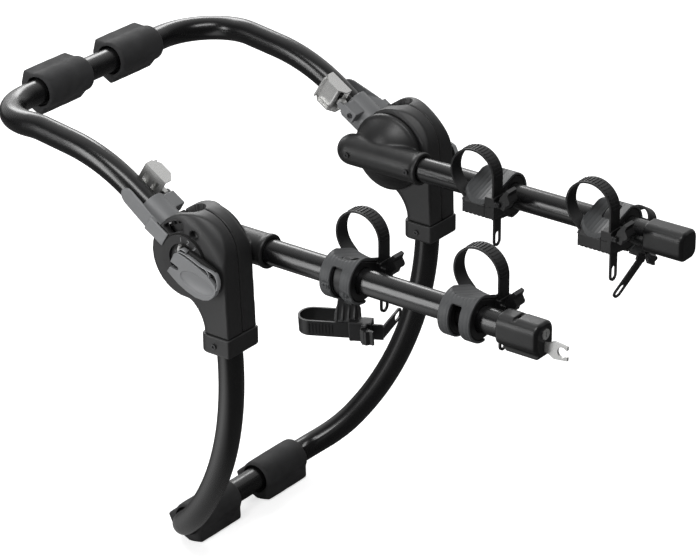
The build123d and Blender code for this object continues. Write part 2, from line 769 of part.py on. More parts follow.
def handle_pin(radius):
    t = BUCKLE_SPAN[0] + HANDLE_PIN_SHARE * (BUCKLE_SPAN[1] - BUCKLE_SPAN[0])
    n0, n1 = BUCKLE_NORMALS
    x = HUB_X + (BUCKLE_X[0] + BUCKLE_X[1]) / 2
    normal = (0, -sin(RAKE), cos(RAKE))
    frame = Plane(origin=raked(x).from_local_coords((t, n0, 0)), z_dir=normal)
    return extrude(frame * Circle(radius), amount=n1 - n0)


def buckle_handle():
    t0, t1 = BUCKLE_SPAN
    n0, n1 = [n + side * (BUCKLE_SHEET + GAP) for n, side in zip(BUCKLE_NORMALS, (1, -1))]
    x0, x1 = [HUB_X + x for x in BUCKLE_X]
    x_mid = (x0 + x1) / 2
    pin_t = t0 + HANDLE_PIN_SHARE * (t1 - t0)
    barrel_r = HANDLE_PIN_RADIUS + HANDLE_SHEET
    normal = (0, -sin(RAKE), cos(RAKE))
    frame = Plane(origin=raked(x_mid).from_local_coords((pin_t, n0, 0)), z_dir=normal)
    barrel = extrude(frame * Circle(barrel_r), amount=n1 - n0)
    plate = raked_slab(rect(pin_t, t1 - CUT, n0, n1), x_mid - barrel_r, x_mid - barrel_r + HANDLE_SHEET)
    lip = raked_slab(rect(t1 - CUT - HANDLE_SHEET, t1 - CUT, n0, n1), x0, x_mid - barrel_r + HANDLE_SHEET)
    return one(barrel + plate + lip + handle_pin(HANDLE_PIN_RADIUS))


# Arms
def arm_rod(radius, y_from, y_to):
    return beam(Pos(ARM_X, 0) * Circle(radius), y_from, y_to)


def arm_carrier(rod):
    x1 = INNER_X - CARRIER_GAP
    x0 = x1 - CARRIER_THICKNESS
    disc = slab(Circle(CARRIER_RADIUS), x0, x1)
    disc = fillet(disc.faces().sort_by(Axis.X)[0].edges(), CARRIER_ROUND)
    rim = (x0, CARRIER_RADIUS - CARRIER_ROUND)
    shoulder = (x0 - DOME_HEIGHT, DOME_TOP_RADIUS)
    peak = (x0 - DOME_PEAK, 0)
    swell = Spline(rim, shoulder, peak, tangents=((-1, -DOME_RIM_SHARE), (0, -1)))
    dome = revolve(make_face(Polyline(peak, (x0, 0), rim) + swell), axis=Axis.X)
    profile = make_face(
        Polyline(
            (0, BOSS_FRONT),
            (0, -BOSS_REAR),
            (BOSS_RADIUS + BOSS_LIP, -BOSS_REAR),
            (BOSS_RADIUS + BOSS_LIP, BOSS_LIP_LENGTH - BOSS_REAR),
            (BOSS_RADIUS, BOSS_LIP_LENGTH - BOSS_REAR + BOSS_LIP),
            (BOSS_RADIUS, BOSS_FRONT - BOSS_RADIUS),
        )
        + ThreePointArc(
            (BOSS_RADIUS, BOSS_FRONT - BOSS_RADIUS),
            (BOSS_RADIUS * sqrt(1 / 2), BOSS_FRONT - BOSS_RADIUS * (1 - sqrt(1 / 2))),
            (0, BOSS_FRONT),
        )
    )
    boss = Pos(ARM_X, 0, 0) * revolve(profile, axis=Axis.Y)
    limit = block(0, x1, -BOSS_REAR - CUT, BOSS_FRONT + CUT, -CARRIER_RADIUS, CARRIER_RADIUS)
    body = (disc + dome + boss) & limit
    bore = slab(Circle(AXLE_RADIUS + RUNNING), AXLE_END - RUNNING, x1 + CUT)
    return one(body - bore - rod)


def arm_tube():
    return one(arm_rod(TUBE_R, ARM_START, -ARM_REACH) - arm_rod(
        TUBE_R - TUBE_WALL, ARM_START + CUT, -ARM_REACH - CUT
    ))


def boss_screws():
    places = [((ARM_X - BOSS_RADIUS, y, 0), (-1, 0, 0)) for y in BOSS_SCREWS_AT]
    places.append(((ARM_X - TUBE_R, CAP_SCREW_GAP - CAP_FROM, 0), (-1, 0, 0)))
    return places


def cap_section():
    return Pos(ARM_X, 0) * RectangleRounded(CAP_WIDTH, CAP_HEIGHT, CAP_ROUND)


def end_cap(locked):
    body = beam(cap_section(), -CAP_FROM, -CAP_TO)
    body = chamfer(body.faces().sort_by(Axis.Y)[0].edges(), CAP_END_ROUND)
    if locked:
        keel = make_face(
            Polyline(
                (-CAP_FROM - CAP_KEEL_RAMP, 0),
                (-CAP_FROM - CUT, -CAP_HEIGHT / 2 + CAP_ROUND / 2),
                (-CAP_FROM - CAP_KEEL_RAMP - CAP_END_ROUND, -CAP_KEEL),
                (-CAP_TO + CAP_END_ROUND, -CAP_KEEL),
                (-CAP_TO, -CAP_KEEL + CAP_END_ROUND),
                (-CAP_TO, 0),
                close=True,
            )
        )
        body += slab(keel, ARM_X - CAP_KEEL_WIDTH / 2, ARM_X + CAP_KEEL_WIDTH / 2)
        slot_y = -CAP_FROM - CAP_SLOT_SHARE * (CAP_TO - CAP_FROM)
        wide, deep = CAP_SLOT
        body -= block(
            ARM_X - CAP_WIDTH / 2 + CAP_END_ROUND, ARM_X + CAP_WIDTH, slot_y - wide / 2, slot_y + wide / 2,
            CAP_HEIGHT / 2 - deep, CAP_HEIGHT
        )
        body -= lock_barrel_room() + fork_solid(RUNNING, False)
    return one(body - arm_rod(TUBE_R, 0, -ARM_REACH))


def lock_centre():
    return (ARM_X - LOCK_AT[0], LOCK_AT[1])


def lock_barrel_room():
    return beam(Pos(*lock_centre()) * Circle(LOCK_RADIUS + RUNNING), -CAP_TO + LOCK_LENGTH, -CAP_TO - CUT)


def lock_cylinder():
    body = beam(Pos(*lock_centre()) * Circle(LOCK_RADIUS), -CAP_TO + LOCK_LENGTH, -CAP_TO - LOCK_PROUD)
    wide, tall, deep = LOCK_KEYWAY
    way = beam(
        Pos(*lock_centre()) * Rectangle(wide, tall), -CAP_TO - LOCK_PROUD + deep, -CAP_TO - LOCK_PROUD - CUT
    )
    return one(body - way)


def fork_solid(extra, notched):
    x = ARM_X - FORK_AT[0]
    z = FORK_AT[1]
    y0 = -CAP_TO
    half = FORK_HEIGHT / 2
    shank = rect(
        y0 - CUT - FORK_REACH * 0.1, y0 + FORK_SHANK, z - FORK_SHANK_HEIGHT / 2 - extra,
        z + FORK_SHANK_HEIGHT / 2 + extra
    )
    if not notched:
        return slab(shank, x - FORK_THICKNESS / 2 - extra, x + FORK_THICKNESS / 2 + extra)
    shoulder = y0 - FORK_REACH * 0.1
    head = make_face(
        Polyline(
            (shoulder, z - FORK_SHANK_HEIGHT / 2),
            (shoulder, z + FORK_SHANK_HEIGHT / 2),
            (shoulder - FORK_REACH * 0.3, z + half),
            (y0 - FORK_REACH, z + half * 0.8),
            (y0 - FORK_REACH, z - half * 0.8),
            (shoulder - FORK_REACH * 0.3, z - half),
            close=True,
        )
    )
    eye = y0 - FORK_REACH + FORK_NOTCH_RADIUS * 1.1
    notch = Pos(eye, z) * Circle(FORK_NOTCH_RADIUS) + rect(
        eye, y0 - FORK_REACH - CUT, z - FORK_MOUTH / 2, z + FORK_MOUTH / 2
    )
    return one(slab(shank + head - notch, x - FORK_THICKNESS / 2, x + FORK_THICKNESS / 2))


# Cradles, modelled about the arm axis and then moved along the arm
def xz(sketch, y_from, y_to):
    return beam(sketch, y_from, y_to)


def saddle_outline(radius, tip, rise):
    end = radians(SADDLE_END_ANGLE)
    low = (radius * cos(end), radius * sin(end))
    start = (-tip, rise - radius * 0.22)
    return make_face(
        Polyline(low, (0, 0), (-tip * 0.6, -radius * 0.2), start)
        + ThreePointArc(start, (-tip * 0.55, radius * 0.80), (0, radius))
        + ThreePointArc((0, radius), (radius, 0), low)
    )


def valley(radius_extra):
    half = SADDLE_WIDTH / 2
    radius = (half**2 + VALLEY_DEPTH**2) / (2 * VALLEY_DEPTH)
    height = SADDLE_RADIUS - VALLEY_DEPTH + radius
    tool = Cylinder(radius + radius_extra, 4 * SADDLE_TONGUE)
    return Rot(0, -VALLEY_TILT, 0) * Pos(0, 0, height) * Rot(0, 90, 0) * tool


def slot_wedge(outer, start, end):
    return sector(outer, start, end)


def ring_slot(outer):
    half = (RING_SLOT_WIDTH) / 2
    ring = Circle(SWAY_RING_RADIUS + 2 * GAP)
    return xz(ring, half, -half) + xz(slot_wedge(outer, *RING_SLOT_ANGLES), half, -half)


def saddle():
    half = SADDLE_WIDTH / 2
    outer = xz(saddle_outline(SADDLE_RADIUS, SADDLE_TONGUE, SADDLE_TONGUE_RISE), half, -half)
    outer -= valley(0)
    inner = cradle_core(SADDLE_WIDTH + 2 * CUT)
    body = one(outer - inner - ring_slot(2 * SADDLE_RADIUS))
    return body


def cradle_core(width):
    half = width / 2
    radius = SADDLE_RADIUS - SADDLE_THICKNESS
    tip = SADDLE_TONGUE - SADDLE_EDGE
    core = Circle(radius) + make_face(
        Polyline(
            (0, 0), (0, -radius), (-radius, -radius * 0.9), (-tip, -CRADLE_BLOCK_DROP),
            (-tip, SADDLE_TONGUE_RISE - SADDLE_RADIUS * 0.22), (0, 0)
        )
    )
    core += make_face(
        Polyline((0, radius), (0, 0), (-tip, 0), (-tip, SADDLE_TONGUE_RISE - SADDLE_RADIUS * 0.22))
        + ThreePointArc(
            (-tip, SADDLE_TONGUE_RISE - SADDLE_RADIUS * 0.22), (-tip * 0.55, radius * 0.78), (0, radius)
        )
    )
    return xz(core, half, -half) - valley(SADDLE_THICKNESS)


def strap_x():
    middle = -STRAP_IN
    return middle - STRAP_WIDTH / 2, middle + STRAP_WIDTH / 2


def strap_path():
    radius = STRAP_LOOP_RADIUS
    cw, cz = STRAP_LOOP_CENTRE
    entry = radians(STRAP_ENTRY_ANGLE)
    a = (cw + radius * cos(entry), cz + radius * sin(entry))
    back = (a[0] + STRAP_ENTRY_LENGTH * sin(entry), a[1] - STRAP_ENTRY_LENGTH * cos(entry))
    middle = radians((STRAP_ENTRY_ANGLE + 180) / 2)
    top = (cw + radius * cos(middle), cz + radius * sin(middle))
    left = (cw - radius, cz)
    return Line(back, a) + ThreePointArc(a, top, left) + Line(left, (cw - radius, -STRAP_TAIL_DROP))


def strap_plain():
    x0, x1 = strap_x()
    return slab(trace(strap_path(), STRAP_THICKNESS), x0, x1)


def strap():
    x0, x1 = strap_x()
    middle = (x0 + x1) / 2
    cw, cz = STRAP_LOOP_CENTRE
    rear = cw - STRAP_LOOP_RADIUS
    body = strap_plain()
    ridges = None
    start, end = STRAP_RIDGE_ANGLES
    wide, proud = STRAP_RIDGE
    step = (end - start) / (STRAP_RIDGE_COUNT - 1)
    for i in range(STRAP_RIDGE_COUNT):
        bar = Pos(cw, cz) * Rot(0, 0, start + step * i) * Pos(
            STRAP_LOOP_RADIUS + BAND_R + proud / 2 - BAND_R / 2, 0
        ) * Rectangle(proud + BAND_R, wide)
        ridges = bar if ridges is None else ridges + bar
    body += slab(ridges, middle - STRAP_RIDGE_WIDTH / 2, middle + STRAP_RIDGE_WIDTH / 2)
    half = STRAP_TAIL_WIDTH / 2
    low = -STRAP_TAIL_DROP
    keep = rect(x0 - CUT, x1 + CUT, RATCHET_BOTTOM - 2 * CUT, cz + 2 * STRAP_LOOP_RADIUS)
    keep += rect(middle - half, middle + half, low + half, 0) + Pos(middle, low + half) * Circle(half)
    body &= xz(keep, 3 * STRAP_LOOP_RADIUS, -3 * STRAP_LOOP_RADIUS)
    wide, tall = STRAP_EYE
    eye = Pos(middle, low + STRAP_EYE_WALL + tall / 2) * SlotOverall(tall, wide, rotation=90)
    body -= xz(eye, rear + 2 * STRAP_THICKNESS, rear - 2 * STRAP_THICKNESS)
    return one(body)


def cradle_body():
    half = CRADLE_WIDTH / 2
    body = cradle_core(CRADLE_WIDTH)
    bore = xz(Circle(TUBE_R + RUNNING), 2 * half, -2 * half)
    tip = SADDLE_TONGUE - SADDLE_EDGE
    radius = SADDLE_RADIUS - SADDLE_THICKNESS
    pitch = CRADLE_WIDTH / CRADLE_TOOTH_COUNT
    slope = degrees(atan2(radius * 0.9 - CRADLE_BLOCK_DROP, tip - radius))
    for i in range(CRADLE_TOOTH_COUNT):
        w = -half + pitch * (i + 1 / 2)
        notch = Pos(-tip, w, -CRADLE_BLOCK_DROP) * Rot(0, slope, 0) * Rot(45, 0, 0) * Box(
            3 * tip, CRADLE_TOOTH, CRADLE_TOOTH
        )
        body -= notch & block(-2 * tip, 0, -half, half, -2 * radius, radius / 2)
    body += ratchet_place() * ratchet(CRADLE_WIDTH / 4)
    return one(body - bore - ring_slot(2 * radius) - strap_plain())


def ratchet_place():
    return Pos(-STRAP_IN, STRAP_LOOP_CENTRE[0] - STRAP_LOOP_RADIUS, 0)


def ratchet(inward):
    wide = RATCHET_WIDTH / 2
    pin_y, pin_z = TAB_PIN_AT
    body = block(-wide, wide, -RATCHET_GUIDE, inward, RATCHET_BOTTOM, RATCHET_TOP)
    body += block(-wide, wide, pin_y - RATCHET_EAR, 0, pin_z - RATCHET_EAR, pin_z + RATCHET_EAR)
    low = pin_z - TAB_BARREL_RADIUS - 2 * GAP
    body -= block(RATCHET_EAR - wide, wide - RATCHET_EAR, 2 * pin_y, -BAND_R - CUT, low, 2 * RATCHET_TOP)
    return body - slab(Pos(pin_y, pin_z) * Circle(TAB_PIN_RADIUS + RUNNING), -wide - CUT, wide + CUT)


def tab(length):
    corners = [(a * length, b * length) for a, b in TAB_OUTLINE_SHARES]
    outline = make_face(Polyline(*corners, close=True)) + Circle(TAB_BARREL_RADIUS)
    half = RATCHET_WIDTH / 2 - RATCHET_EAR - GAP
    body = slab(outline, -half, half)
    body += slab(Circle(TAB_PIN_RADIUS), -RATCHET_WIDTH / 2, RATCHET_WIDTH / 2)
    return Pos(0, *TAB_PIN_AT) * one(body)


# Anti-sway holders: a ring in the cradle's slot, a ribbed head, a flat strap loop
def sway_band_path(kind):
    end = SWAY_BAND_ENDS[kind]
    return FilletPolyline(
        (SWAY_BAND_FAR, SWAY_HEAD_SPAN[1] - STRAP_WIDTH / 2),
        (SWAY_BAND_FAR, end),
        (SWAY_BAND_NEAR, end),
        (SWAY_BAND_NEAR, SWAY_TAIL_TURNS[kind]),
        radius=[SWAY_BAND_BEND, SWAY_BAND_BEND],
    )


def sway_band_plain(kind):
    plane = Plane.XY.offset(-SWAY_BAND_TOP - STRAP_WIDTH)
    return extrude(plane * trace(sway_band_path(kind), STRAP_THICKNESS), amount=STRAP_WIDTH)


def sway_tail(kind):
    tip_a, tip_b = SWAY_TAIL_TIPS[kind]
    run_a = tip_a - SWAY_BAND_NEAR
    run_b = tip_b - SWAY_TAIL_TURNS[kind]
    length = sqrt(run_a**2 + run_b**2)
    slim = STRAP_TAIL_WIDTH / 2
    wide, tall = STRAP_EYE
    outline = rect(-BAND_R, length - slim, -slim, slim) + Pos(length - slim, 0) * Circle(slim)
    outline -= Pos(length - STRAP_EYE_WALL - tall / 2, 0) * SlotOverall(tall, wide)
    middle = -SWAY_BAND_TOP - STRAP_WIDTH / 2
    normal = (-run_b / length, run_a / length, 0)
    plane = Plane(
        origin=(SWAY_BAND_NEAR, SWAY_TAIL_TURNS[kind], middle), x_dir=(run_a / length, run_b / length, 0),
        z_dir=normal
    )
    return extrude(plane * outline, amount=BAND_R, both=True)


def sway_strap(kind):
    body = sway_band_plain(kind) + sway_tail(kind)
    middle = -SWAY_BAND_TOP - STRAP_WIDTH / 2
    ridge_half = STRAP_RIDGE_WIDTH / 2
    wide, proud = STRAP_RIDGE
    face = SWAY_BAND_NEAR + BAND_R
    for i in range(SWAY_RIDGE_COUNTS[kind]):
        b = SWAY_HEAD_SPAN[1] + SWAY_RIDGE_STEP * (i + 1 / 2)
        body += block(
            face - BAND_R / 2, face + proud, b - wide / 2, b + wide / 2, middle - ridge_half,
            middle + ridge_half
        )
    return one(body)


def sway_head():
    b0, b1 = SWAY_HEAD_SPAN
    a0, a1 = SWAY_HEAD_FACES
    top = -SWAY_HEAD_TOP
    low = -SWAY_BAND_TOP - STRAP_WIDTH
    middle = (b0 + b1) / 2
    narrow = SWAY_HEAD_TOP_SHARE * (b1 - b0) / 2
    knee = -SWAY_BAND_TOP + SWAY_HEAD_TOP / 4
    front = make_face(
        Polyline(
            (middle - narrow, top), (b0, knee), (b0, low), (b1, low), (b1, knee), (middle + narrow, top),
            close=True
        )
    )
    body = slab(front, a0, a1)
    rib_wide, rib_deep = SWAY_RIB
    scoop = make_face(Polyline(
        (a1 + CUT, top + CUT), (a1 + CUT, -SWAY_BAND_TOP), (a1 - rib_deep, -SWAY_BAND_TOP),
        (a0 / 2, top + CUT), close=True
    ))
    body -= beam(scoop, b1 + CUT, b0 - CUT)
    pitch = (b1 - b0) / SWAY_RIB_COUNT
    fin = make_face(Polyline(
        (a0 / 2, top), (a1, -SWAY_BAND_TOP), (a1 - 2 * rib_deep, -SWAY_BAND_TOP), (a0 / 2 - CUT, top),
        close=True
    ))
    for i in range(SWAY_RIB_COUNT):
        b = b0 + pitch * (i + 1 / 2)
        body += beam(fin, b + rib_wide / 2, b - rib_wide / 2)
    return body + block(SWAY_BAND_FAR - STRAP_THICKNESS - BAND_R, a0 + CUT, middle, b1, low, -SWAY_BAND_TOP)


def sway_clasp_place():
    middle = -SWAY_BAND_TOP - STRAP_WIDTH / 2
    return Location(Plane(origin=(SWAY_BAND_NEAR, SWAY_CLASP_AT, middle), x_dir=(0, 0, 1), z_dir=(0, -1, 0)))


def sway_body(kind):
    half = SWAY_RING_WIDTH / 2
    ring = beam(Circle(SWAY_RING_RADIUS), half, -half)
    neck = beam(rect(-SWAY_NECK_WIDTH / 2, SWAY_NECK_WIDTH / 2, -SWAY_NECK_DROP, 0), half, -half)
    bore = beam(Circle(TUBE_R + RUNNING), half + CUT, -half - CUT)
    head = sway_head() + sway_clasp_place() * ratchet(SWAY_BAND_NEAR)
    head -= sway_band_plain(kind)
    return one(ring + neck - bore + Rot(0, 0, -SWAY_YAWS[kind]) * head)


def sway_place(kind):
    return Pos(ARM_X, CRADLE_ROWS[kind], 0) * Rot(0, -SWAY_TILTS[kind], 0)


def save_sway(kind, hand):
    turn = Rot(0, 0, -SWAY_YAWS[kind])
    pieces = {
        "antisway_body": sway_body(kind),
        "antisway_strap": turn * sway_strap(kind),
        "antisway_tab": turn * sway_clasp_place() * tab(SWAY_TAB_SHARE * TAB_LENGTH),
    }
    for name, solid in pieces.items():
        placed = sway_place(kind) * solid
        save(f"{hand}_{name}", mirror(placed, about=Plane.YZ) if hand == "left" else placed)


def save_all():
    lower = lower_path()
    upper = upper_path()
    lower_rod = tube_along(lower, TUBE_R)
    upper_rod = tube_along(upper, TUBE_R)
    save("lower_hoop", hoop(lower))
    save("upper_hoop", hoop(upper))
    lower_pad = pad((LOWER_FORWARD, -LOWER_DROP), LOWER_PAD_DIR, LOWER_PAD_SPAN, lower_rod)
    upper_pad = pad((UPPER_REACH, UPPER_RISE), UPPER_PAD_DIR, UPPER_PAD_SPAN, upper_rod)
    for where, solid in (("lower", lower_pad), ("upper", upper_pad)):
        save(f"{where}_pad_right", solid)
        save(f"{where}_pad_left", mirror(solid, about=Plane.YZ))
    outer, inner = hub_shells(lower_rod)
    save_pair("hub_outer_shell", outer)
    save_pair("hub_inner_shell", inner)
    ring = collar(lower_rod)
    fixings = []
    for at, direction in collar_screws():
        ring -= seated(at, direction)
        fixings += pair(screw(at, direction))
    save_pair("collar", one(ring))
    save("hub_screws", group(fixings))
    save_pair("dial_ring", dial_ring())
    save_pair("cam_lever", cam_lever())
    save_pair("knuckle", knuckle(upper_rod))
    at, direction = bracket_screw()
    save_pair("reel_housing", one(reel_housing(upper_rod) - seated(at, direction)))
    save("reel_housing_screws", group(pair(screw(at, direction))))
    save_pair("buckle_frame", buckle_frame())
    save_pair("buckle_handle", buckle_handle())
    save("pivot_bolts", group(pair(axle())))
    save("lever_pins", group(pair(one(lever_pin_hole(LEVER_PIN_RADIUS)))))
    arm = arm_rod(TUBE_R, ARM_START, -ARM_REACH)
    carrier = arm_carrier(arm)
    tube = arm_tube()
    screws = []
    for at, direction in boss_screws():
        screws.append(screw(at, direction))
        carrier -= seated(at, direction)
        tube -= seated(at, direction)
    save_pair("arm_carrier", one(carrier))
    save_pair("arm_tube", one(tube))
    save_pair("arm_screws", group(screws))
    save("right_end_cap", end_cap(False))
    save("left_end_cap", mirror(end_cap(True), about=Plane.YZ))
    save("lock_cylinder", mirror(lock_cylinder(), about=Plane.YZ))
    save("lock_fork", mirror(fork_solid(0, True), about=Plane.YZ))
    body = cradle_body()
    pieces = {
        "cradle_body": body,
        "saddle": one(saddle() - body - strap_plain()),
        "strap": strap(),
        "tab": ratchet_place() * tab(TAB_LENGTH),
    }
    for row, y in zip(("front", "rear"), CRADLE_ROWS):
        for name, solid in pieces.items():
            save_pair(f"{row}_{name}", Pos(ARM_X, y, 0) * solid)
    save_sway(0, "left")
    save_sway(1, "right")


save_all()
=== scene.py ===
"""Looks of a two-arm bicycle carrier for a car's rear door.

Finishes, moulded skins, dished levers, foam sleeves, dial numbers, floor, light and camera.
"""

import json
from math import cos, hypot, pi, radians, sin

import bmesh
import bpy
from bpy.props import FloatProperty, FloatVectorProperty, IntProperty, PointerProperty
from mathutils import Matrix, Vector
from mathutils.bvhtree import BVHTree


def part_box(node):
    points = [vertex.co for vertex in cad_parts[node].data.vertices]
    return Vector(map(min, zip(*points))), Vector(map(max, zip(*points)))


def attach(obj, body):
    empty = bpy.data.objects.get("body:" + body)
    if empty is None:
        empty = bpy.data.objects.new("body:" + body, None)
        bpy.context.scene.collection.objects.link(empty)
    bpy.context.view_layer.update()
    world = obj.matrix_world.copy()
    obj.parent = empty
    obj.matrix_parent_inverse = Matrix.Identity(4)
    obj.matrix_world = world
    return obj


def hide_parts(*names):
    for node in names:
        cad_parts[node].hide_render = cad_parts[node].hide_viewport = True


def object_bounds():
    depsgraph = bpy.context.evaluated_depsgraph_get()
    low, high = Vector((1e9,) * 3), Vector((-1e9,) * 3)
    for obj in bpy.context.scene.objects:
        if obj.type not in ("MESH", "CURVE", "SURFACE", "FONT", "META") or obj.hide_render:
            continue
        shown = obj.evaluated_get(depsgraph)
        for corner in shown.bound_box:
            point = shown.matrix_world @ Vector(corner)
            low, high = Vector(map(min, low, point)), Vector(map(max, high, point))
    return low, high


bl_info = {
    "name": "Boot Carrier Looks",
    "version": (1, 0, 0),
    "blender": (4, 5, 0),
    "location": "View3D > Sidebar > Carrier",
    "description": "Dresses the carrier's frame with finishes, moulded skins, levers and foam sleeves",
    "category": "Object",
}

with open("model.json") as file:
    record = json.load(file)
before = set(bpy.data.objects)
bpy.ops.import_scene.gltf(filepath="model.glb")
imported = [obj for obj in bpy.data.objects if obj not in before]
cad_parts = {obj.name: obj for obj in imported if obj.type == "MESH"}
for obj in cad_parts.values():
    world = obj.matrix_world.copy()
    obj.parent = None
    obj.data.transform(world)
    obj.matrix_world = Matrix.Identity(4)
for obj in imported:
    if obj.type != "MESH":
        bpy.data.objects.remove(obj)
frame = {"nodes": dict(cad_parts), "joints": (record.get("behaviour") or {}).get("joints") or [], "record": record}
CAD_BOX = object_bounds()
NODES = frame["nodes"]
HANDS = ("left", "right")
SIDE = {"left": -1.0, "right": 1.0}

BEHAVIOUR = frame["record"]["behaviour"]
BODY_OF = {node: body for body, nodes in BEHAVIOUR["bodies"].items() for node in nodes}
SAME_PLACE = 1e-6

# Sizes in metres and turns in radians. Places on a dial, a port, a housing or a lever count from the hub axis.
AXIS = next(Vector(j["pos_m"]) for j in frame["joints"] if j["name"] == "upper_frame_fold")
RAKE = radians(32.05)
ARM_FOLD = radians(next(j["range_deg"][1] for j in BEHAVIOUR["joints"] if j["name"] == "left_arm_fold"))
LEG_GAP = 0.0004
LEG_REACH = 10 * LEG_GAP
DIAL_FACE_X = 0.2345
DIAL_MIDDLE = 0.0261
ARM_X = 0.1538
VALLEY_LEAN = radians(19.0)
VALLEY_RISE = 0.0202
VALLEY_PLATE = (0.030, 0.016, 0.0026)
HOLDER_CRADLES = (("left", "front"), ("right", "rear"))

# Node word, grid size, rounds of softening and material slot of each moulding that gets a rounded skin
SKINS = (
    ("saddle", 0.0009, 9, "saddle_rubber"),
    ("hub_outer_shell", 0.0012, 12, "hub_plastic"),
    ("hub_inner_shell", 0.0012, 12, "hub_plastic"),
    ("arm_carrier", 0.0011, 12, "carrier_plastic"),
    ("collar", 0.0009, 6, "hub_plastic"),
    ("end_cap", 0.0008, 6, "cap_plastic"),
    ("cradle_body", 0.0007, 4, "ratchet_plastic"),
    ("antisway_body", 0.0007, 3, "ratchet_plastic"),
    ("reel_housing", 0.0007, 4, "clamp_grey"),
)
GROOVE_PITCH = 0.0048
GROOVE_DEPTH = 0.0005
GROOVE_SHARP = 6
SADDLE_EASE = 0.0006
PORT_PLACE = (0.2070, 0.0050, 0.0580)
PORT_RADIUS = 0.0150
PORT_DEEP = 0.018
PORT_SINK = 0.007
PORT_FACING = 0.2
# Hollows of the strap housing and its outer plate: across the car, along the upper tube and square to it
HOUSING_HOLLOWS = (
    ((0.2110, 0.2284), (0.0500, 0.1300), (-0.0290, -0.0150)),
    ((0.2070, 0.2284), (0.0875, 0.1300), (-0.0290, 0.0030)),
)
PLATE_X = (0.2278, 0.2312)
PLATE_FROM = 0.053
PLATE_RUN = 0.062
PLATE_RISE = 0.0130
PLATE_HALF = 0.0135
PLATE_LEAN = (0.0105, 0.0060)
PLATE_MIDDLE = -0.0010
PLATE_WIDTH_SHARE = 0.80
# Foam sleeves round the crossbars: where each bar runs from the hub axis, the bore and its pocket, the swell of
# the sleeve and the soft waves in its skin
BAR_OF = {"lower": (0.1127, -0.4482), "upper": (0.3388, 0.0940)}
FOAM_BORE = 0.0175
FOAM_SWELL = 1.13
POCKET_RADIUS = 0.0195
POCKET_DEEP = 0.0120
CROWN_SHARP = 6
WAVES_X_Z = (210.0, 90.0)
WAVES_Y_X = (170.0, 60.0)
# Dark hem of a near saddle: its height over the arm's axis at the middle, its rise at the ends and half its length
SADDLE_HEM = (0.0000, 0.0150, 0.0230)
# Near-black disc of painted shade under each dial: its radius, its thickness and its place across the car
DIAL_GROOVE = 0.0330
DIAL_GROOVE_DEEP = 0.0004
DIAL_FLOOR_X = 0.2314
DIAL_NUMBERS = range(1, 9)
DIAL_START = 62.0
DIAL_STEP = 24.0
FIGURE_SCALE = 1.35

# Quick-release lever, in millimetres along and across it from its pin, and in metres across the car
LEVER_TURN = radians(200.6)
LEVER_PIN = (3.0, 10.75)
LEVER_PAD = (
    (-3.6, 14.0), (-2.2, 1.2), (2.0, -3.4), (12.0, -4.2), (25.4, -4.2), (38.0, -3.6), (50.2, -2.2), (58.2, 0.6),
    (64.5, 3.2), (68.2, 8.1), (68.6, 13.5), (67.0, 19.5), (62.6, 27.0), (54.9, 32.4), (44.0, 35.7), (30.7, 36.3),
    (16.7, 34.9), (4.8, 31.8), (-4.0, 29.1), (-1.9, 21.0), (8.6, 19.6), (10.2, 17.0), (8.6, 14.4),
)
LEVER_BASE = (
    (-3.1, 4.8), (1.2, -6.8), (5.2, -11.0), (21.0, -12.1), (39.6, -12.7), (53.3, -11.7), (60.5, -8.9), (66.4, -1.5),
    (68.4, 7.0), (62.0, 22.0), (44.0, 32.0), (16.0, 31.0), (0.0, 22.0),
)
LEVER_RIBS = (
    (
        (1.7, -4.2), (6.5, -6.2), (12.2, -7.2), (24.2, -7.5),
        (35.3, -6.9), (44.7, -8.3), (49.5, -6.1), (53.5, -1.4),
    ),
    ((1.5, -6.6), (5.4, -10.8), (12.5, -11.4), (12.2, -7.2)),
    ((44.7, -8.3), (54.2, -10.1), (60.0, -9.3), (64.8, -4.6), (67.4, 1.2), (68.3, 8.0)),
)
# Dish of the thumb pad: middle along and across, half its length and width, and turn
LEVER_DISH = (40.5, 16.5, 26.0, 11.6, radians(-9.0))
LEVER_DISH_DEEP = 0.0034
LEVER_PAD_X = (0.2368, 0.2441)
LEVER_BASE_X = (0.2353, 0.2392)
LEVER_RIB_X = (0.2372, 0.2436)
LEVER_RIB_HALF = 0.55
LEVER_RIB_EDGE = 0.00025
LEVER_BASE_EDGE = 0.0005
LEVER_GRID = 0.0004
LEVER_ROUNDS = 4

# Floor: its drop under the lowest point, the white that the camera sees, and where glossy rays meet it bright, as
# ramps from and to along x, along y from the near side and along y from the far side
FLOOR_DROP = 0.0005
FLOOR_WHITE = 0.66
PATCH_ASIDE = (-0.45, -0.05, 1.5, 0.0)
PATCH_NEAR = (-0.25, 0.05, 0.0, 1.0)
PATCH_FAR = (0.15, 0.50, 1.0, 0.0)
# White wall of the studio: which way it lies, how fast it fades and what the sky gives to diffuse rays
WHITE_WALL = (0.60, 0.50, 0.50)
WALL_RAMP = (0.30, 0.85, 0.06, 1.0)
SKY_DIFFUSE = 0.30
# Name, place, target, size and power of each lamp
LAMPS = (
    ("key", (-0.9, -0.5, 2.2), (0.0, -0.1, 0.45), (1.4, 0.5), 22.0),
    ("back", (1.2, 1.5, 1.7), (0.0, 0.0, 0.45), (1.8, 0.6), 26.0),
    ("side", (-2.1, 0.9, 0.8), (0.0, 0.0, 0.30), (0.5, 1.6), 26.0),
)
CAMERA_PLACE = (-2.768476, -2.3145, 2.0205)
CAMERA_RIGHT = (0.605355, -0.795916, -0.007915)
CAMERA_DOWN = (-0.344056, -0.252688, -0.904309)
CAMERA_AHEAD = (0.717754, 0.550151, -0.426806)


# Shader parts that several finishes share


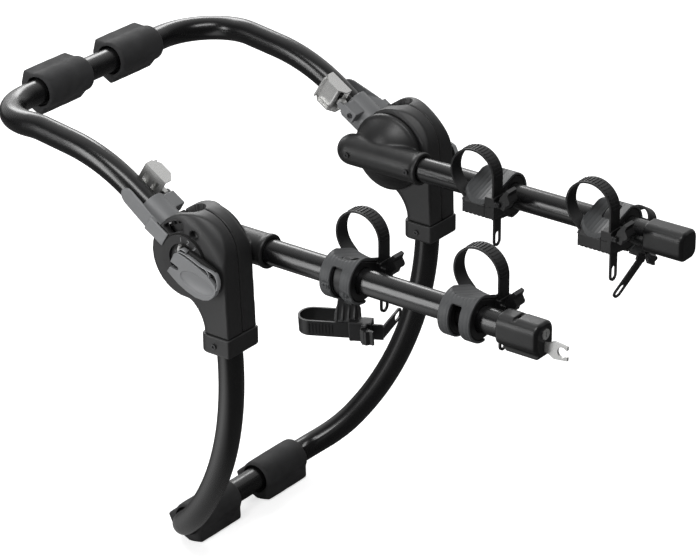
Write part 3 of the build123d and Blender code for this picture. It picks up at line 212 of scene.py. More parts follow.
def new_group(name, inputs, outputs):
    group = bpy.data.node_groups.new(name, "ShaderNodeTree")
    for label, kind, value in inputs:
        socket = group.interface.new_socket(name=label, in_out="INPUT", socket_type=kind)
        socket.default_value = value
    for label, kind in outputs:
        group.interface.new_socket(name=label, in_out="OUTPUT", socket_type=kind)
    return group, group.nodes.new("NodeGroupInput"), group.nodes.new("NodeGroupOutput")


def add(tree, kind, **values):
    node = tree.nodes.new(kind)
    for key, value in values.items():
        setattr(node, key, value)
    return node


def noise(tree, vector, scale, detail=3.0, rough=0.55):
    node = add(tree, "ShaderNodeTexNoise")
    node.inputs["Detail"].default_value = detail
    node.inputs["Roughness"].default_value = rough
    if isinstance(scale, float):
        node.inputs["Scale"].default_value = scale
    else:
        tree.links.new(scale, node.inputs["Scale"])
    tree.links.new(vector, node.inputs["Vector"])
    return node.outputs["Fac"]


def math(tree, operation, a, b=None):
    node = add(tree, "ShaderNodeMath", operation=operation)
    for socket, value in zip(node.inputs, (a, b)):
        if value is None:
            continue
        if isinstance(value, (int, float)):
            socket.default_value = value
        else:
            tree.links.new(value, socket)
    return node.outputs[0]


def ramp_value(tree, value, low, high, to_low, to_high):
    node = add(tree, "ShaderNodeMapRange")
    for name, number in (("From Min", low), ("From Max", high), ("To Min", to_low), ("To Max", to_high)):
        if isinstance(number, (int, float)):
            node.inputs[name].default_value = number
        else:
            tree.links.new(number, node.inputs[name])
    tree.links.new(value, node.inputs["Value"])
    return node.outputs["Result"]


def mix_colour(tree, factor, a, b):
    node = add(tree, "ShaderNodeMix", data_type="RGBA")
    tree.links.new(factor, node.inputs["Factor"])
    colours = [s for s in node.inputs if s.type == "RGBA"]
    for socket, value in zip(colours, (a, b)):
        if isinstance(value, (tuple, list)):
            socket.default_value = value
        else:
            tree.links.new(value, socket)
    return [s for s in node.outputs if s.type == "RGBA"][0]


def moulded_grain():
    """Spark-eroded grain of a moulding: a fine height and a slow drift."""
    group, given, out = new_group(
        "MouldedGrain",
        [("Vector", "NodeSocketVector", (0, 0, 0)), ("Scale", "NodeSocketFloat", 2400.0)],
        [("Height", "NodeSocketFloat"), ("Drift", "NodeSocketFloat")],
    )
    fine = noise(group, given.outputs["Vector"], given.outputs["Scale"], detail=2.0, rough=0.6)
    slow = noise(group, given.outputs["Vector"], 26.0, detail=3.0, rough=0.5)
    group.links.new(fine, out.inputs["Height"])
    group.links.new(slow, out.inputs["Drift"])
    return group


def coat_peel():
    """Orange peel of a baked coat: long soft waves with fine specks."""
    group, given, out = new_group(
        "CoatPeel",
        [("Vector", "NodeSocketVector", (0, 0, 0)), ("Wave Scale", "NodeSocketFloat", 420.0)],
        [("Height", "NodeSocketFloat"), ("Specks", "NodeSocketFloat")],
    )
    wave = noise(group, given.outputs["Vector"], given.outputs["Wave Scale"], detail=2.0, rough=0.4)
    specks = noise(group, given.outputs["Vector"], 3200.0, detail=1.0, rough=0.5)
    group.links.new(math(group, "ADD", wave, math(group, "MULTIPLY", specks, 0.25)), out.inputs["Height"])
    group.links.new(specks, out.inputs["Specks"])
    return group


def foam_cells():
    """Skinned closed-cell foam: shallow pits, a soft pebble and faint scuffs."""
    group, given, out = new_group(
        "FoamCells",
        [("Vector", "NodeSocketVector", (0, 0, 0)), ("Cell Scale", "NodeSocketFloat", 950.0)],
        [("Height", "NodeSocketFloat"), ("Scuff", "NodeSocketFloat")],
    )
    cells = add(group, "ShaderNodeTexVoronoi", feature="SMOOTH_F1")
    group.links.new(given.outputs["Vector"], cells.inputs["Vector"])
    group.links.new(given.outputs["Cell Scale"], cells.inputs["Scale"])
    pebble = noise(group, given.outputs["Vector"], 320.0, detail=3.0, rough=0.55)
    total = math(group, "ADD", math(group, "MULTIPLY", cells.outputs["Distance"], 0.6), pebble)
    scuff = noise(group, given.outputs["Vector"], 55.0, detail=4.0, rough=0.65)
    group.links.new(total, out.inputs["Height"])
    group.links.new(ramp_value(group, scuff, 0.42, 0.72, 0.0, 1.0), out.inputs["Scuff"])
    return group


def top_dust():
    """Mask of what settles on upward faces, broken up by a slow cloud."""
    group, given, out = new_group(
        "TopDust",
        [("Vector", "NodeSocketVector", (0, 0, 0)), ("Amount", "NodeSocketFloat", 0.1)],
        [("Mask", "NodeSocketFloat")],
    )
    normal = add(group, "ShaderNodeNewGeometry")
    parts = add(group, "ShaderNodeSeparateXYZ")
    group.links.new(normal.outputs["Normal"], parts.inputs["Vector"])
    facing = ramp_value(group, parts.outputs["Z"], 0.2, 1.0, 0.0, 1.0)
    cloud = noise(group, given.outputs["Vector"], 38.0, detail=4.0, rough=0.6)
    cloud = ramp_value(group, cloud, 0.4, 0.7, 0.3, 1.0)
    broken = math(group, "MULTIPLY", facing, cloud)
    group.links.new(math(group, "MULTIPLY", broken, given.outputs["Amount"]), out.inputs["Mask"])
    return group


MAKERS = {
    "MouldedGrain": moulded_grain,
    "CoatPeel": coat_peel,
    "FoamCells": foam_cells,
    "TopDust": top_dust,
}
GROUPS = {}


def group_node(tree, name):
    if name not in GROUPS:
        GROUPS[name] = MAKERS[name]()
    node = tree.nodes.new("ShaderNodeGroup")
    node.node_tree = GROUPS[name]
    return node


def start_finish(name):
    material = bpy.data.materials.new(name)
    material.use_nodes = True
    tree = material.node_tree
    shader = tree.nodes["Principled BSDF"]
    place = add(tree, "ShaderNodeTexCoord")
    return material, tree, shader, place.outputs["Object"]


def lighter(colour, times):
    return tuple(min(1.0, c * times) for c in colour[:3]) + (1.0,)


def bump(tree, shader, height, strength, depth):
    node = add(tree, "ShaderNodeBump")
    node.inputs["Strength"].default_value = strength
    node.inputs["Distance"].default_value = depth
    tree.links.new(height, node.inputs["Height"])
    tree.links.new(node.outputs["Normal"], shader.inputs["Normal"])


def dusted(tree, place, colour, amount, dust):
    node = group_node(tree, "TopDust")
    node.inputs["Amount"].default_value = amount
    tree.links.new(place, node.inputs["Vector"])
    return mix_colour(tree, node.outputs["Mask"], colour, dust)


def coat_finish(name, colour, roughness):
    material, tree, shader, place = start_finish(name)
    peel = group_node(tree, "CoatPeel")
    tree.links.new(place, peel.inputs["Vector"])
    tint = mix_colour(tree, peel.outputs["Specks"], lighter(colour, 0.85), lighter(colour, 1.2))
    tree.links.new(dusted(tree, place, tint, 0.05, (0.20, 0.20, 0.20, 1.0)), shader.inputs["Base Color"])
    rough = ramp_value(tree, peel.outputs["Specks"], 0.3, 0.7, roughness - 0.03, roughness + 0.04)
    tree.links.new(rough, shader.inputs["Roughness"])
    bump(tree, shader, peel.outputs["Height"], 0.12, 0.00005)
    return material


def moulding_finish(name, colour, roughness, grain=2400.0, depth=0.00010, dust=0.06):
    material, tree, shader, place = start_finish(name)
    node = group_node(tree, "MouldedGrain")
    node.inputs["Scale"].default_value = grain
    tree.links.new(place, node.inputs["Vector"])
    tint = mix_colour(tree, node.outputs["Drift"], lighter(colour, 0.88), lighter(colour, 1.14))
    tree.links.new(dusted(tree, place, tint, dust, (0.24, 0.24, 0.24, 1.0)), shader.inputs["Base Color"])
    rough = ramp_value(tree, node.outputs["Drift"], 0.3, 0.7, roughness - 0.05, roughness + 0.05)
    tree.links.new(rough, shader.inputs["Roughness"])
    bump(tree, shader, node.outputs["Height"], 0.35, depth)
    return material


def foam_finish(name, colour):
    material, tree, shader, place = start_finish(name)
    node = group_node(tree, "FoamCells")
    tree.links.new(place, node.inputs["Vector"])
    tint = mix_colour(tree, node.outputs["Scuff"], lighter(colour, 0.92), lighter(colour, 1.30))
    tree.links.new(dusted(tree, place, tint, 0.08, (0.22, 0.22, 0.22, 1.0)), shader.inputs["Base Color"])
    tree.links.new(ramp_value(tree, node.outputs["Scuff"], 0.0, 1.0, 0.72, 0.86), shader.inputs["Roughness"])
    shader.inputs["Specular IOR Level"].default_value = 0.35
    bump(tree, shader, node.outputs["Height"], 0.5, 0.00045)
    return material


def metal_finish(name, colour, roughness, stretch):
    material, tree, shader, place = start_finish(name)
    shader.inputs["Metallic"].default_value = 0.75
    mapping = add(tree, "ShaderNodeMapping")
    mapping.inputs["Scale"].default_value = stretch
    tree.links.new(place, mapping.inputs["Vector"])
    lines = noise(tree, mapping.outputs["Vector"], 900.0, detail=2.0, rough=0.6)
    tint = mix_colour(tree, lines, lighter(colour, 0.82), lighter(colour, 1.08))
    tree.links.new(tint, shader.inputs["Base Color"])
    rough = ramp_value(tree, lines, 0.25, 0.75, roughness - 0.08, roughness + 0.10)
    tree.links.new(rough, shader.inputs["Roughness"])
    bump(tree, shader, lines, 0.10, 0.00003)
    return material


# Sizes and colours that can be set


def colour_property(name, description, value):
    return FloatVectorProperty(name=name, description=description, subtype="COLOR", size=3, default=value)


def length_property(name, description, value):
    return FloatProperty(name=name, description=description, default=value, unit="LENGTH")


class CarrierColours(bpy.types.PropertyGroup):
    tube: colour_property("Tube", "Coat of the hoops and arms", (0.0045, 0.0045, 0.0048))
    hub: colour_property("Hub", "Hub housings and arm carriers", (0.016, 0.016, 0.0165))
    grey: colour_property("Grey", "Levers and strap housings", (0.165, 0.168, 0.172))
    saddle: colour_property("Saddle", "Rubber saddles", (0.046, 0.048, 0.050))
    strap: colour_property("Strap", "Ratchet straps and housings", (0.0075, 0.0075, 0.008))
    foam: colour_property("Foam", "Foam sleeves", (0.024, 0.024, 0.025))
    metal: colour_property("Metal", "Buckles, lock and fork", (0.60, 0.60, 0.59))


class FoamSizes(bpy.types.PropertyGroup):
    voxel: length_property("Grid", "Size of the grid the sleeve is drawn on", 0.0015)
    crown: length_property("Crown", "How far a sleeve draws in at its ends", 0.0008)
    ripple: length_property("Ripple", "Height of the soft waves in the skin", 0.00012)
    rounds: IntProperty(name="Softening", description="Rounds of smoothing", default=3, min=0, max=20)


class DialSizes(bpy.types.PropertyGroup):
    figure: length_property("Figure", "Height of a number on the dial", 0.0062)
    relief: length_property("Relief", "How far the numbers stand up", 0.00025)


class StageSizes(bpy.types.PropertyGroup):
    lens: FloatProperty(name="Lens", description="Focal length", default=160.16, unit="CAMERA")
    floor: length_property("Floor", "Half the floor's width", 9.0)


def own(name):
    return getattr(bpy.context.scene, name)


def colour_of(name):
    return tuple(getattr(own("carrier_colours"), name)) + (1.0,)


def piece(name, mesh, body, finish):
    mesh.name = name
    made = bpy.data.objects.new(name, mesh)
    bpy.context.scene.collection.objects.link(made)
    mesh.materials.clear()
    mesh.materials.append(finish)
    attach(made, body)
    return made


def finish_bmesh(bm, name, smooth=True):
    bmesh.ops.remove_doubles(bm, verts=bm.verts, dist=SAME_PLACE)
    bmesh.ops.recalc_face_normals(bm, faces=bm.faces)
    for face in bm.faces:
        face.smooth = smooth
    mesh = bpy.data.meshes.new(name)
    bm.to_mesh(mesh)
    bm.free()
    return mesh


# Finishes of the frame's own nodes


# The first word found in a node's name gives its finish
FINISH_OF = (
    ("hoop", "tube"), ("arm_tube", "tube"), ("hub_outer_shell", "hub"), ("hub_inner_shell", "hub"),
    ("collar", "collar"), ("arm_carrier", "carrier"), ("dial_ring", "dial"), ("knuckle", "dial"),
    ("cam_lever", "grey"), ("reel_housing_screws", "screw"), ("reel_housing", "grey"), ("saddle", "saddle"),
    ("antisway_strap", "strap"), ("strap", "strap"), ("cradle_body", "ratchet"), ("antisway_body", "sway"),
    ("tab", "ratchet"), ("end_cap", "cap"), ("buckle_frame", "metal"), ("buckle_handle", "metal"),
    ("lock", "metal"), ("lever_pins", "metal"), ("screws", "screw"), ("bolts", "screw"),
)


def finish_key(name):
    return next((key for word, key in FINISH_OF if word in name), None)


def make_finishes():
    return {
        "tube": coat_finish("satin_black_coat", colour_of("tube"), 0.24),
        "hub": moulding_finish("hub_moulding", colour_of("hub"), 0.50),
        "collar": moulding_finish("collar_moulding", lighter(colour_of("hub"), 0.8), 0.48),
        "carrier": moulding_finish("carrier_moulding", lighter(colour_of("hub"), 0.62), 0.42),
        "dial": moulding_finish("dial_moulding", lighter(colour_of("hub"), 0.75), 0.45),
        "grey": moulding_finish(
            "grey_moulding", colour_of("grey"), 0.46, grain=2000.0, depth=0.00012, dust=0.04
        ),
        # Lighter copy of the grey moulding for the lever's ribs: a painted highlight on their edges
        "grey_edge": moulding_finish(
            "grey_edge", lighter(colour_of("grey"), 1.5), 0.42, grain=2000.0, depth=0.00008, dust=0.02
        ),
        "saddle": moulding_finish(
            "saddle_rubber", colour_of("saddle"), 0.52, grain=1400.0, depth=0.00020, dust=0.05
        ),
        "strap": moulding_finish(
            "strap_rubber", colour_of("strap"), 0.50, grain=1800.0, depth=0.00010, dust=0.05
        ),
        "ratchet": moulding_finish(
            "ratchet_moulding", colour_of("strap"), 0.40, grain=2600.0, depth=0.00006, dust=0.03
        ),
        "sway": moulding_finish(
            "holder_moulding", lighter(colour_of("strap"), 1.5), 0.48, grain=2400.0, depth=0.00008, dust=0.05
        ),
        "cap": moulding_finish(
            "cap_moulding", lighter(colour_of("tube"), 1.1), 0.38, grain=2600.0, depth=0.00006, dust=0.03
        ),
        "metal": metal_finish("bright_plate", colour_of("metal"), 0.30, (1.0, 8.0, 8.0)),
        "screw": metal_finish("dark_screw", (0.06, 0.06, 0.062, 1.0), 0.38, (6.0, 1.0, 1.0)),
        "foam": foam_finish("foam_skin", colour_of("foam")),
        # Near-black finish of painted shade, for the port's hollow, the groove under each dial's face and the
        # lever's plate under its pad
        "painted_shade": moulding_finish(
            "deep_black", (0.004, 0.004, 0.004, 1.0), 0.75, grain=1500.0, depth=0.0003, dust=0.0
        ),
        "figure": moulding_finish(
            "figure_grey", (0.20, 0.20, 0.205, 1.0), 0.5, grain=2400.0, depth=0.00004, dust=0.0
        ),
    }


FINISHES = {}


def finish(key):
    if not FINISHES:
        FINISHES.update(make_finishes())
    return FINISHES[key]


class CARRIER_OT_finishes(bpy.types.Operator):
    """Give each node of the frame its finish"""

    bl_idname = "carrier.finishes"
    bl_label = "Frame Finishes"

    def execute(self, context):
        for name, node in NODES.items():
            key = finish_key(name)
            if "pad_" in name:
                continue
            if key is None:
                raise RuntimeError(f"no finish for {name}")
            if not node.material_slots:
                node.data.materials.append(finish(key))
            for slot in node.material_slots:
                slot.material = finish(key)
        return {"FINISHED"}


def merged(node):
    bm = bmesh.new()
    bm.from_mesh(NODES[node].data)
    bmesh.ops.remove_doubles(bm, verts=bm.verts, dist=SAME_PLACE)
    return bm


def regrid(made, voxel):
    grid = made.modifiers.new("grid", "REMESH")
    grid.mode = "VOXEL"
    grid.voxel_size = voxel
    mesh = bpy.data.meshes.new_from_object(made.evaluated_get(bpy.context.evaluated_depsgraph_get()))
    made.modifiers.clear()
    bm = bmesh.new()
    bm.from_mesh(mesh)
    bpy.data.meshes.remove(mesh)
    return bm


def relax(bm, rounds):
    for _ in range(rounds):
        bmesh.ops.smooth_vert(bm, verts=bm.verts, factor=0.5, use_axis_x=True, use_axis_y=True, use_axis_z=True)


def dress(made, bm, key):
    made.data = finish_bmesh(bm, made.name)
    made.data.materials.append(finish(key))


def cut_with(made, tool):
    cut = made.modifiers.new("cut", "BOOLEAN")
    cut.operation = "DIFFERENCE"
    cut.solver = "EXACT"
    cut.object = tool
    mesh = bpy.data.meshes.new_from_object(made.evaluated_get(bpy.context.evaluated_depsgraph_get()))
    made.modifiers.clear()
    bpy.data.objects.remove(tool)
    bm = bmesh.new()
    bm.from_mesh(mesh)
    return bm


class CARRIER_OT_skins(bpy.types.Operator):
    """Give the mouldings the rounded edges that come out of a mould"""

    bl_idname = "carrier.skins"
    bl_label = "Moulded Skins"

    def execute(self, context):
        for node in sorted(NODES):
            for word, voxel, rounds, slot in SKINS:
                if word in node and "screws" not in node:
                    self.skin(node, voxel, rounds, slot)
                    break
        return {"FINISHED"}

    def skin(self, node, voxel, rounds, slot):
        key = finish_key(node)
        bm = merged(node)
        if "saddle" in node:
            self.close_saddle(bm, node)
        made = piece(node + "_skin", finish_bmesh(bm, node), BODY_OF[node], finish(key))
        if "reel_housing" in node:
            self.thin_plate(made, node)
        bm = regrid(made, voxel)
        relax(bm, rounds)
        if "saddle" in node:
            self.groove(bm, node)
        if "front_saddle" in node:
            self.clear_leg(bm)
        dress(made, bm, key)
        if "right" in node and "saddle" in node:
            self.darken_hem(made, node)
        if "hub_" in node:
            self.open_port(made, node, key)
        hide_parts(node)

    def close_saddle(self, bm, node):
        hand, row = node.split("_")[:2]
        if (hand, row) in HOLDER_CRADLES:
            return
        made = bmesh.ops.create_cube(bm, size=1.0)
        centre = Vector((SIDE[hand] * ARM_X, (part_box(node)[0].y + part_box(node)[1].y) / 2, AXIS.z))
        side = SIDE[hand]
        lean = Matrix.Rotation(-side * VALLEY_LEAN, 4, "Y")
        shape = Matrix.Diagonal(VALLEY_PLATE + (1.0,))
        turn = Matrix.Translation(centre) @ lean @ Matrix.Translation((0, 0, VALLEY_RISE)) @ shape
        bmesh.ops.transform(bm, matrix=turn, verts=made["verts"])

    def groove(self, bm, node):
        low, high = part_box(node)
        middle = (low.y + high.y) / 2
        for vert in bm.verts:
            along = vert.co.y - middle
            line = max(0.0, cos(2 * pi * along / GROOVE_PITCH)) ** GROOVE_SHARP
            vert.co -= vert.normal * (SADDLE_EASE + GROOVE_DEPTH * line * (1.0 - abs(vert.normal.y)))

    def clear_leg(self, bm):
        """Ease a front saddle off the nearest wall of the hollow leg where the folded arm lays it.

        Past the middle of the wall the nearest face is the inner one, so there it eases toward the bore.
        """
        hoop = NODES["lower_hoop"].data
        leg = BVHTree.FromPolygons([v.co for v in hoop.vertices], [tuple(f.vertices) for f in hoop.polygons])
        fold = Matrix.Rotation(ARM_FOLD, 3, "X")
        for vert in bm.verts:
            folded = AXIS + fold @ (vert.co - AXIS)
            hit, normal = leg.find_nearest(folded)[:2]
            depth = LEG_GAP - (folded - hit).dot(normal)
            if 0 < depth < LEG_REACH:
                vert.co += (fold.transposed() @ normal) * depth

    def darken_hem(self, made, node):
        low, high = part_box(node)
        middle = (low.y + high.y) / 2
        height, rise, half = SADDLE_HEM
        made.data.materials.append(finish("ratchet"))
        for face in made.data.polygons:
            hem = AXIS.z + height + rise * ((face.center.y - middle) / half) ** 2
            if face.center.x < ARM_X and face.center.z < hem:
                face.material_index = 1

    def thin_plate(self, made, node):
        side = SIDE[node.split("_")[0]]
        for x_span, along_span, across_span in HOUSING_HOLLOWS:
            tool = tool_of(raked_box([side * x for x in x_span], along_span, across_span))
            dress(made, cut_with(made, tool), "grey")
        for vert in made.data.vertices:
            from_axis = vert.co - AXIS
            along = from_axis.y * cos(RAKE) + from_axis.z * sin(RAKE)
            across = from_axis.z * cos(RAKE) - from_axis.y * sin(RAKE)
            if PLATE_X[0] < side * from_axis.x < PLATE_X[1] and along > PLATE_FROM:
                lean = min(1.0, (along - PLATE_FROM) / PLATE_RUN)
                risen = min(across + PLATE_RISE, PLATE_HALF) - PLATE_MIDDLE
                risen = PLATE_MIDDLE + risen * PLATE_WIDTH_SHARE - lean * PLATE_LEAN[1]
                vert.co = raked(from_axis.x - side * lean * PLATE_LEAN[0], along, risen)

    def open_port(self, made, node, key):
        hand = node.split("_")[0]
        place = AXIS + Vector((SIDE[hand] * PORT_PLACE[0], PORT_PLACE[1], PORT_PLACE[2]))
        # Faces in and round the sunk port take the near-black finish: painted shade in the hollow
        made.data.materials.append(finish("painted_shade"))
        sunk = set()
        for vert, normal in zip(made.data.vertices, made.data.vertex_normals):
            aside = vert.co - place
            if hypot(aside.x, aside.y) < PORT_RADIUS and aside.z > -PORT_DEEP and normal.vector.z > PORT_FACING:
                sunk.add(vert.index)
        for index in sunk:
            made.data.vertices[index].co.z -= PORT_SINK
        for face in made.data.polygons:
            aside = face.center - place
            if hypot(aside.x, aside.y) < PORT_RADIUS and aside.z > -2 * PORT_DEEP:
                face.material_index = 1


def raked(x, along, across):
    """A place in the strap housing's frame: across the car, along the upper tube and square to it."""
    return AXIS + Vector((x, along * cos(RAKE) - across * sin(RAKE), along * sin(RAKE) + across * cos(RAKE)))


def raked_box(x_span, along_span, across_span):
    bm = bmesh.new()
    bmesh.ops.create_cube(bm, size=1.0)
    spans = (x_span, along_span, across_span)
    middle = raked(*((a + b) / 2 for a, b in spans))
    shape = Matrix.Diagonal([abs(b - a) for a, b in spans] + [1.0])
    turn = Matrix.Translation(middle) @ Matrix.Rotation(RAKE, 4, "X") @ shape
    bmesh.ops.transform(bm, matrix=turn, verts=bm.verts)
    return bm


def tool_of(bm):
    tool = bpy.data.objects.new("tool", finish_bmesh(bm, "tool", False))
    bpy.context.scene.collection.objects.link(tool)
    return tool


def outline_plate(points, low, high, bevel):
    """A flat outline in millimetres, raised from low to high, with its edges broken."""
    bm = bmesh.new()
    face = bm.faces.new([bm.verts.new((a / 1000, b / 1000, low)) for a, b in points])
    raised = bmesh.ops.extrude_face_region(bm, geom=[face])
    top = [v for v in raised["geom"] if isinstance(v, bmesh.types.BMVert)]
    bmesh.ops.translate(bm, vec=(0, 0, high - low), verts=top)
    bmesh.ops.recalc_face_normals(bm, faces=bm.faces)
    if bevel:
        rim = [e for e in bm.edges if all(v.co.z > high - SAME_PLACE for v in e.verts)]
        bmesh.ops.bevel(bm, geom=rim, offset=bevel, segments=3, profile=0.5, affect="EDGES", material=-1)
    return bm


def rib_plate(path, half, low, high):
    """A thin upright wall along a path."""
    spots = [Vector(p) for p in path]
    sides = ([], [])
    for i, spot in enumerate(spots):
        way = (spots[min(i + 1, len(spots) - 1)] - spots[max(i - 1, 0)]).normalized()
        for side, sign in zip(sides, (1, -1)):
            side.append(spot + Vector((-way.y, way.x)) * half * sign)
    return outline_plate([tuple(v) for v in sides[0] + sides[1][::-1]], low, high, LEVER_RIB_EDGE)


class CARRIER_OT_levers(bpy.types.Operator):
    """Model the quick-release levers: a dished thumb pad, a near-black plate under it that is painted shade, and
    the ribs along its back in a lighter grey that is a painted highlight
    """

    bl_idname = "carrier.levers"
    bl_label = "Levers"

    def execute(self, context):
        for hand in HANDS:
            self.lever(hand)
        return {"FINISHED"}

    def place(self, hand):
        along = Vector((0, cos(LEVER_TURN), sin(LEVER_TURN)))
        across = Vector((0, -sin(LEVER_TURN), cos(LEVER_TURN)))
        turn = Matrix((along, across, Vector((SIDE[hand], 0, 0)))).transposed().to_4x4()
        return Matrix.Translation(AXIS + Vector((0, LEVER_PIN[0] / 1000, LEVER_PIN[1] / 1000))) @ turn

    def set_down(self, hand, bm, name, key, slot):
        bmesh.ops.transform(bm, matrix=self.place(hand), verts=bm.verts)
        return piece(f"{hand}_{name}", finish_bmesh(bm, name), f"{hand}_cam_lever", finish(key))

    def lever(self, hand):
        body = f"{hand}_cam_lever"
        pad = outline_plate(LEVER_PAD, *LEVER_PAD_X, 0.0)
        made = piece(f"{hand}_lever_pad", finish_bmesh(pad, "pad"), body, finish("grey"))
        along, across, half_along, half_across, turn = LEVER_DISH
        bm = bmesh.new()
        bmesh.ops.create_uvsphere(bm, u_segments=64, v_segments=32, radius=1.0)
        shape = Matrix.Diagonal((half_along / 1000, half_across / 1000, LEVER_DISH_DEEP, 1.0))
        spot = Matrix.Translation((along / 1000, across / 1000, LEVER_PAD_X[1]))
        spot = spot @ Matrix.Rotation(turn, 4, "Z") @ shape
        bmesh.ops.transform(bm, matrix=spot, verts=bm.verts)
        dress(made, cut_with(made, tool_of(bm)), "grey")
        bm = regrid(made, LEVER_GRID)
        relax(bm, LEVER_ROUNDS)
        bmesh.ops.transform(bm, matrix=self.place(hand), verts=bm.verts)
        dress(made, bm, "grey")
        # A near-black plate under the pad and between the ribs: painted shade
        base = outline_plate(LEVER_BASE, *LEVER_BASE_X, LEVER_BASE_EDGE)
        shade_plate = self.set_down(hand, base, "lever_core", "painted_shade", "dial_black")
        ribs = bmesh.new()
        for path in LEVER_RIBS:
            mesh = finish_bmesh(rib_plate(path, LEVER_RIB_HALF, *LEVER_RIB_X), "rib")
            ribs.from_mesh(mesh)
            bpy.data.meshes.remove(mesh)
        # The ribs take the lighter grey: painted highlight
        rib = self.set_down(hand, ribs, "lever_ribs", "grey_edge", "clamp_grey")
        for part in (made, shade_plate, rib):
            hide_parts(f"{hand}_cam_lever")


class CARRIER_OT_foam(bpy.types.Operator):
    """Make the four soft foam sleeves over the hoops' crossbars"""

    bl_idname = "carrier.foam"
    bl_label = "Foam Sleeves"

    def execute(self, context):
        for row in ("lower", "upper"):
            for hand in HANDS:
                self.sleeve(f"{row}_pad_{hand}", f"{row}_frame")
        return {"FINISHED"}

    def sleeve(self, node, body):
        sizes = own("carrier_foam")
        bm = merged(node)
        bar = Vector((AXIS.y, AXIS.z)) + Vector(BAR_OF[node.split("_")[0]])
        for vert in bm.verts:
            aside = Vector((vert.co.y, vert.co.z)) - bar
            if aside.length > FOAM_BORE:
                vert.co.y, vert.co.z = bar + aside * FOAM_SWELL
        made = piece(node.replace("pad", "foam"), finish_bmesh(bm, node), body, finish("foam"))
        bm = regrid(made, sizes.voxel)
        relax(bm, sizes.rounds)
        self.draw_in(bm, node, sizes)
        self.open_ends(bm, node, bar)
        dress(made, bm, "foam")
        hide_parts(node)

    def open_ends(self, bm, node, bar):
        """Widen the bore where the crossbar enters."""
        low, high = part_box(node)
        for vert in bm.verts:
            aside = Vector((vert.co.y, vert.co.z)) - bar
            inward = min(vert.co.x - low.x, high.x - vert.co.x)
            if aside.length < POCKET_RADIUS and inward < POCKET_DEEP:
                vert.co.y, vert.co.z = bar + aside.normalized() * POCKET_RADIUS

    def draw_in(self, bm, node, sizes):
        low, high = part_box(node)
        middle = (low + high) / 2
        half = (high.x - low.x) / 2
        for vert in bm.verts:
            along = abs(vert.co.x - middle.x) / half
            wave = sin(vert.co.x * WAVES_X_Z[0] + vert.co.z * WAVES_X_Z[1])
            wave *= cos(vert.co.y * WAVES_Y_X[0] - vert.co.x * WAVES_Y_X[1])
            vert.co += vert.normal * (sizes.ripple * wave - sizes.crown * along ** CROWN_SHARP)


class CARRIER_OT_dial(bpy.types.Operator):
    """Set the numbers on the hub dials and a near-black disc under each dial's face, painted shade in the groove
    round it
    """

    bl_idname = "carrier.dial"
    bl_label = "Dial Numbers"

    def execute(self, context):
        for hand in HANDS:
            self.figures(hand)
        return {"FINISHED"}

    def figures(self, hand):
        sizes = own("carrier_dial")
        side = SIDE[hand]
        bm = bmesh.new()
        for i in DIAL_NUMBERS:
            angle = radians(DIAL_START + DIAL_STEP * i)
            text = bpy.data.curves.new("figure", "FONT")
            text.body = str(i)
            text.size = sizes.figure * FIGURE_SCALE
            text.extrude = sizes.relief
            text.align_x = "CENTER"
            text.align_y = "CENTER"
            carrier = bpy.data.objects.new("figure", text)
            mesh = bpy.data.meshes.new_from_object(carrier)
            face_x = side * (DIAL_FACE_X + sizes.relief * 0.5)
            place = Vector((face_x, cos(angle) * DIAL_MIDDLE, sin(angle) * DIAL_MIDDLE)) + AXIS
            out = Vector((side, 0, 0))
            up = Vector((0, cos(angle), sin(angle)))
            right = up.cross(out)
            turn = Matrix((right, up, out)).transposed().to_4x4()
            mesh.transform(Matrix.Translation(place) @ turn)
            bm.from_mesh(mesh)
            bpy.data.meshes.remove(mesh)
            bpy.data.objects.remove(carrier)
            bpy.data.curves.remove(text)
        figures = finish_bmesh(bm, "figures", False)
        piece(f"{hand}_dial_figures", figures, "lower_frame", finish("figure"))
        # A thin near-black disc under the dial's face: painted shade in the groove round the dial
        flat = bmesh.new()
        bmesh.ops.create_cone(
            flat, cap_ends=True, segments=96, radius1=DIAL_GROOVE, radius2=DIAL_GROOVE, depth=DIAL_GROOVE_DEEP
        )
        place = Matrix.Translation(AXIS + Vector((side * DIAL_FLOOR_X, 0, 0))) @ Matrix.Rotation(pi / 2, 4, "Y")
        bmesh.ops.transform(flat, matrix=place, verts=flat.verts)
        groove = finish_bmesh(flat, "groove", False)
        piece(f"{hand}_dial_groove", groove, "lower_frame", finish("painted_shade"))


